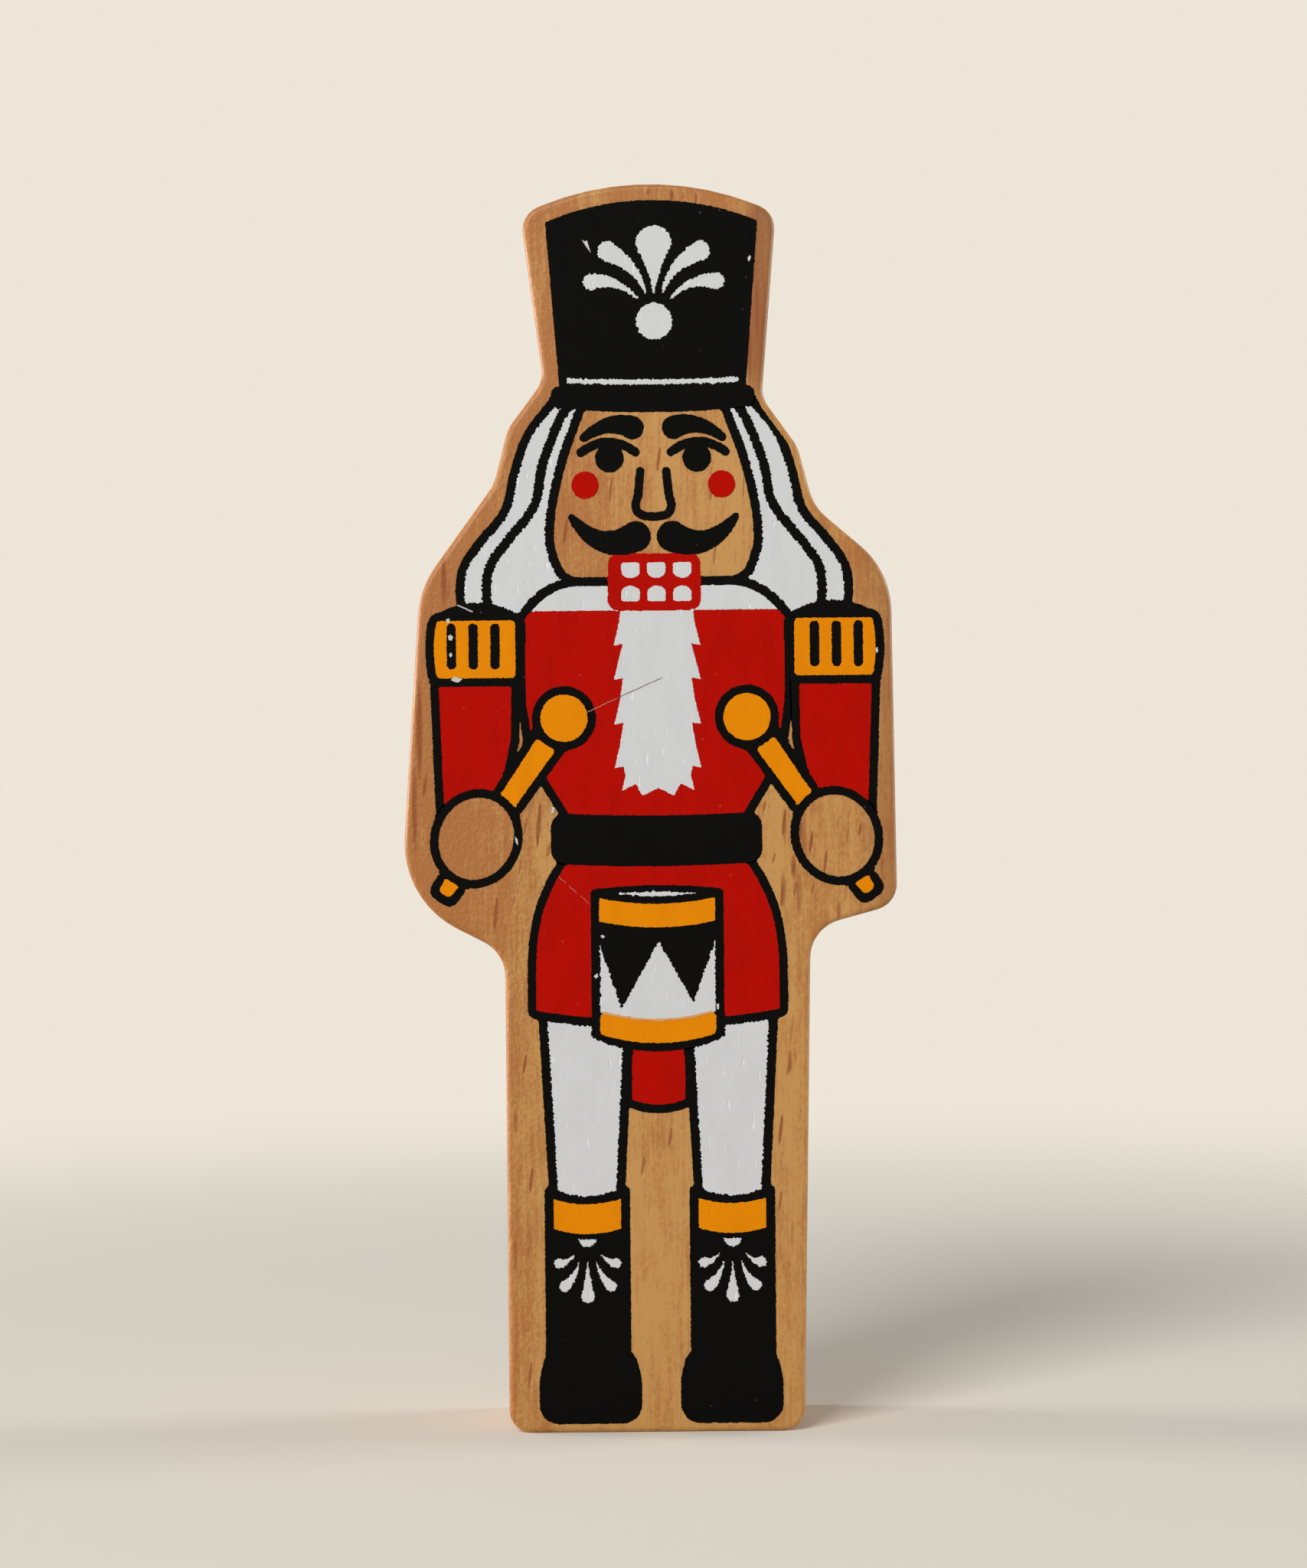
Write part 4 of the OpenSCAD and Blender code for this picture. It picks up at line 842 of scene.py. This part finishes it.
def painted_shade_places(s):
    """How much painted shade darkens the wood by place: the hat's right side and the right arm."""
    hat = s.maths("MULTIPLY", s.along(s.x, PAINTED_SHADE_HAT_X, 0.0, PAINTED_SHADE_HAT), s.along(s.z, PAINTED_SHADE_HAT_Z))
    return s.maths("MAXIMUM", hat, s.along(s.x, PAINTED_SHADE_ARM_X, 0.0, PAINTED_SHADE_ARM))


def seen_streak(s, x, z, half_length, half_width, strength):
    """How strong one of the streaks is: full in its middle, and fading to its ends and sides."""
    aside = s.maths("DIVIDE", s.maths("SUBTRACT", s.x, x * MM), half_width * MM)
    along = s.maths("DIVIDE", s.maths("SUBTRACT", s.z, z * MM), half_length * MM)
    away = s.maths("ADD", s.maths("POWER", aside, 2.0), s.maths("POWER", along, 2.0))
    return s.ramp(away, *STREAK_FADE, strength, 0.0)


def wood_material():
    """Pale hardwood: upright fibres, slow blotches of tone, soft brown streaks, a thin clear lacquer, and
    painted shade on the right side and the hat's top.
    """
    s = Shader("wood")
    fibre = s.clouds(s.place, *GRAIN_FIBRE)
    fine = s.clouds(s.place, *GRAIN_FINE)
    hide = s.clouds(s.place, *GRAIN_HIDE)
    blotch = s.clouds(s.place, *GRAIN_BLOTCH)
    front = s.along(s.y, FRONT_Y, 1.0, BACK_SHARE)

    warmth_and_shade = s.ramp(s.clouds(s.place, *GRAIN_BROAD), *BROAD_RANGE, 0.0, BROAD_WARMTH)
    # The warmth also carries the painted shade at the hat's top
    warmth_and_shade = s.maths("ADD", warmth_and_shade, s.maths("MULTIPLY", warm_and_shaded_places(s), front))
    tones = ((blotch, BLOTCH_WARMTH), (fibre, FIBRE_WARMTH), (fine, FINE_WARMTH), (hide, HIDE_WARMTH))
    for tone, reach in tones:
        warmth_and_shade = s.maths("ADD", warmth_and_shade, s.ramp(tone, *GRAIN_RANGE, -reach, reach))
    colour = s.mixed(s.ramp(warmth_and_shade, *WARMTH_RANGE), WOOD_PALE, WOOD_WARM)
    # Painted shade on the hat's right side and the right arm
    colour = s.mixed(s.maths("MULTIPLY", painted_shade_places(s), front), colour, WOOD_PAINTED_SHADE)

    distance, chance = s.dots(s.place, STREAK_CELL)
    streak = s.ramp(distance, *STREAK_WIDTH, 1.0, 0.0)
    streak = s.maths("MULTIPLY", streak, s.ramp(chance, *STREAK_CHANCE))
    colour = s.mixed(s.maths("MULTIPLY", streak, STREAK_SHARE), colour, WOOD_PORE)
    carried = s.maths("MULTIPLY", s.ramp(fibre, *STREAK_FIBRE), front)
    for place in STREAKS_SEEN:
        colour = s.mixed(s.maths("MULTIPLY", seen_streak(s, *place), carried), colour, WOOD_PORE)
    pore = s.add("ShaderNodeAttribute", {}, attribute_name="pore").outputs["Fac"]
    colour = s.mixed(s.ramp(pore, *PORE_RANGE, 0.0, PORE_SHARE), colour, WOOD_PORE)

    s.set(Base_Color=colour, Roughness=s.ramp(fibre, *GRAIN_RANGE, *WOOD_ROUGH))
    s.set(Specular_IOR_Level=WOOD_SPECULAR, Coat_Weight=LACQUER, Coat_Roughness=LACQUER_ROUGH)
    height = s.maths("MULTIPLY", hide, s.along(s.x, HIDE_X, *HIDE_RELIEF))
    for tone, share in ((fibre, FIBRE_RELIEF), (fine, FINE_RELIEF), (streak, -STREAK_RELIEF)):
        height = s.maths("ADD", height, s.maths("MULTIPLY", tone, share))
    s.bump(height, WOOD_RELIEF)
    return s.material


def ink_material(slot):
    """A dry ink film over wood: faint mottle, a few specks, short upright blister dents with a painted
    highlight on the white ink, a soft sheen.
    """
    main, deep, speck = INK_COLOURS[slot]
    s = Shader(slot)
    mottle = s.clouds(s.flat, MOTTLE_CELL, MOTTLE_DETAIL)
    peel = s.clouds(s.flat, PEEL_CELL, PEEL_DETAIL)
    blister = s.ramp(s.clouds(s.flat, BLISTER_CELL, BLISTER_DETAIL), *BLISTER_RANGE)
    colour = s.mixed(s.ramp(mottle, *MOTTLE_RANGE), main, deep)
    distance, chance = s.dots(s.flat, SPECK_CELL, "2D")
    spot = s.maths("LESS_THAN", distance, s.ramp(chance, *SPECK_CHANCE, 0.0, SPECK_SIZE))
    colour = s.mixed(s.maths("MULTIPLY", spot, SPECK_SHARE), colour, speck)
    colour = s.mixed(s.ramp(peel, *PEEL_RANGE, 0.0, PEEL_SHARE), colour, deep)
    # Painted highlight on the blisters of the white ink
    if slot == "ink_white":
        colour = s.mixed(s.maths("MULTIPLY", blister, BLISTER_HIGHLIGHT_SHARE), colour, BLISTER_PAINTED_HIGHLIGHT)
    s.set(Base_Color=colour, Roughness=s.ramp(mottle, *GRAIN_RANGE, *INK_ROUGH))
    s.set(Specular_IOR_Level=INK_SPECULAR[slot])
    s.bump(s.maths("SUBTRACT", s.maths("MULTIPLY", peel, PEEL_RELIEF), blister), INK_DENT[slot])
    return s.material


def wear_material(name, colour):
    """A worn spot of the print: one tone with a fine powdery variation."""
    s = Shader(name)
    powder = s.clouds(s.flat, POWDER_CELL, POWDER_DETAIL)
    tone = s.mixed(s.ramp(powder, *POWDER_RANGE), colour, darker(colour, POWDER_DARK))
    s.set(Base_Color=tone, Roughness=POWDER_ROUGH, Specular_IOR_Level=POWDER_SPECULAR)
    s.bump(powder, POWDER_RELIEF)
    return s.material


def seen_rays(s):
    """1 for rays from the camera, in a gloss or through glass, and 0 for the rest."""
    rays = s.add("ShaderNodeLightPath", {}).outputs
    glossy = s.maths("MAXIMUM", rays["Is Glossy Ray"], rays["Is Transmission Ray"])
    return s.maths("MAXIMUM", rays["Is Camera Ray"], glossy)


class WorldShader(Shader):
    """The world's nodes."""

    def __init__(self, world):
        world.use_nodes = True
        self.tree = world.node_tree


def make_world():
    """A pale backdrop where it is seen, and an even fill on the object."""
    world = bpy.data.worlds.new("studio")
    bpy.context.scene.world = world
    s = WorldShader(world)
    fill = s.add("ShaderNodeBackground", {"Color": FILL, "Strength": FILL_STRENGTH})
    backdrop = s.add("ShaderNodeBackground", {"Color": BACKDROP, "Strength": 1.0})
    shown = s.add("ShaderNodeMixShader", {0: seen_rays(s), 1: fill.outputs[0], 2: backdrop.outputs[0]})
    s.put(s.tree.nodes["World Output"].inputs["Surface"], shown.outputs[0])


def make_floor():
    """A wide pale floor that keeps the object's shadow and fades into the backdrop."""
    turns = [2 * math.pi * i / FLOOR_SIDES for i in range(FLOOR_SIDES)]
    points = [(FLOOR_RADIUS * math.cos(turn), FLOOR_RADIUS * math.sin(turn), 0) for turn in turns]
    s = Shader("floor")
    grain = s.clouds(s.place, FLOOR_CELL, FLOOR_DETAIL)
    tone = s.mixed(grain, FLOOR, darker(FLOOR, FLOOR_DARK))
    s.set(Base_Color=tone, Roughness=FLOOR_ROUGH, Specular_IOR_Level=0.0)
    away = s.add("ShaderNodeVectorMath", {0: s.place}, operation="LENGTH").outputs["Value"]
    glow = s.add("ShaderNodeEmission", {"Color": BACKDROP, "Strength": 1.0}).outputs[0]
    share = s.maths("MULTIPLY", s.along(away, FLOOR_FADE), seen_rays(s))
    shown = s.add("ShaderNodeMixShader", {0: share, 1: s.surface.outputs[0], 2: glow})
    s.put(s.tree.nodes["Material Output"].inputs["Surface"], shown.outputs[0])
    floor = new_piece("floor", points, [range(FLOOR_SIDES)], [False], s.material)


def make_lamps():
    """Soft lamps that face the figure."""
    for name, place, watts, width, colour in LAMPS:
        lamp = bpy.data.lights.new(name, "AREA")
        lamp.energy = watts
        lamp.color = colour
        lamp.size = width * MM
        holder = bpy.data.objects.new(name, lamp)
        holder.location = Vector(place) * MM
        aim = Vector(LAMP_AIM) - Vector(place)
        holder.rotation_euler = aim.to_track_quat("-Z", "Y").to_euler()
        bpy.context.scene.collection.objects.link(holder)


def make_camera():
    """A level camera straight in front, rolled so that the figure leans as in the photograph."""
    low, high = cad_box
    pixel = (high.z - low.z) / HEIGHT_PX
    distance = pixel * PHOTO_SIZE[1] * LENS / SENSOR
    across = PHOTO_SIZE[0] / 2 - FOOT_PX[0]
    up = FOOT_PX[1] - PHOTO_SIZE[1] / 2
    centre_x = FOOT_X * MM + pixel * (across * math.cos(LEAN) + up * math.sin(LEAN))
    centre_z = low.z + pixel * (up * math.cos(LEAN) - across * math.sin(LEAN))
    lens = bpy.data.cameras.new("camera")
    lens.sensor_fit = "VERTICAL"
    lens.sensor_height = SENSOR
    lens.lens = LENS
    lens.clip_start = CLIP_START * MM
    camera = bpy.data.objects.new("camera", lens)
    right = (math.cos(LEAN), 0, -math.sin(LEAN))
    top = (math.sin(LEAN), 0, math.cos(LEAN))
    turn = Matrix((right, top, (0, -1, 0))).transposed().to_4x4()
    camera.matrix_world = Matrix.Translation((centre_x, low.y - distance, centre_z)) @ turn
    bpy.context.scene.collection.objects.link(camera)
    bpy.context.scene.camera = camera


def dress(piece, slot, *nodes):
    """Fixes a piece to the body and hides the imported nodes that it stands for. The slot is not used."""
    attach(piece, "root")
    if nodes:
        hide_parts(*nodes)


def make_print(shapes, board_front):
    """The ink films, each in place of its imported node, and the thin strip at the drum's hoop."""
    inks = {slot: ink_material(slot) for slot in INK_COLOURS}
    order = list(INK_HEIGHT)
    trees = {slot: tree_of(shapes, order[i:]) for i, slot in enumerate(order)}
    for rank, (node, outlines) in enumerate(shapes.items()):
        slot = slot_of(node)
        edges = [printed_edge(outline, node, *trees[slot]) for outline in outlines]
        height = INK_HEIGHT[slot] + INK_STEP_UP * (rank % INK_TIERS)
        dress(film(f"{node}_ink", edges, height, board_front, inks[slot]), slot, node)
    thin = wear_material("thin_gold", THIN_GOLD)
    dress(thin_strip(shapes["drum_hoops_gold"], board_front, thin), "ink_gold")


def make_wear(board_front):
    """The chips and scratches in the print."""
    rng = random.Random(SCRATCH_SEED)
    dark = [scratch_outline(*scratch, rng) for scratch in DARK_SCRATCHES]
    pale = [scratch_outline(*scratch, rng) for scratch in PALE_SCRATCHES]
    chips = [np.array(chip[::-1]) for chip in CHIPS]
    chips += [scratch_outline(*scratch, rng) for scratch in WHITE_SCRATCHES]
    marks = (
        ("print_chips", chips, "chip", CHIP_WHITE),
        ("print_scratch_dark", dark, "scratch_dark", SCRATCH_DARK),
        ("print_scratches_pale", pale, "scratch_pale", SCRATCH_PALE),
    )
    for name, outlines, finish, colour in marks:
        piece = worn(name, outlines, CHIP_RISE, board_front, wear_material(finish, colour))
        dress(piece, "ink_white")


def main():
    """Builds the studio, the board, the print and its wear."""
    bpy.context.scene.view_settings.view_transform = "Standard"
    make_camera()
    make_world()
    make_floor()
    make_lamps()
    dress(board(wood_material()), "natural_wood", "wood_board")
    printed = sorted(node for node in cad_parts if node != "wood_board")
    board_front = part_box(printed[0])[1].y / MM
    shapes = {node: [resampled(outline, INK_STEP) for outline in front_outlines(node)] for node in printed}
    make_print(shapes, board_front)
    make_wear(board_front)


main()
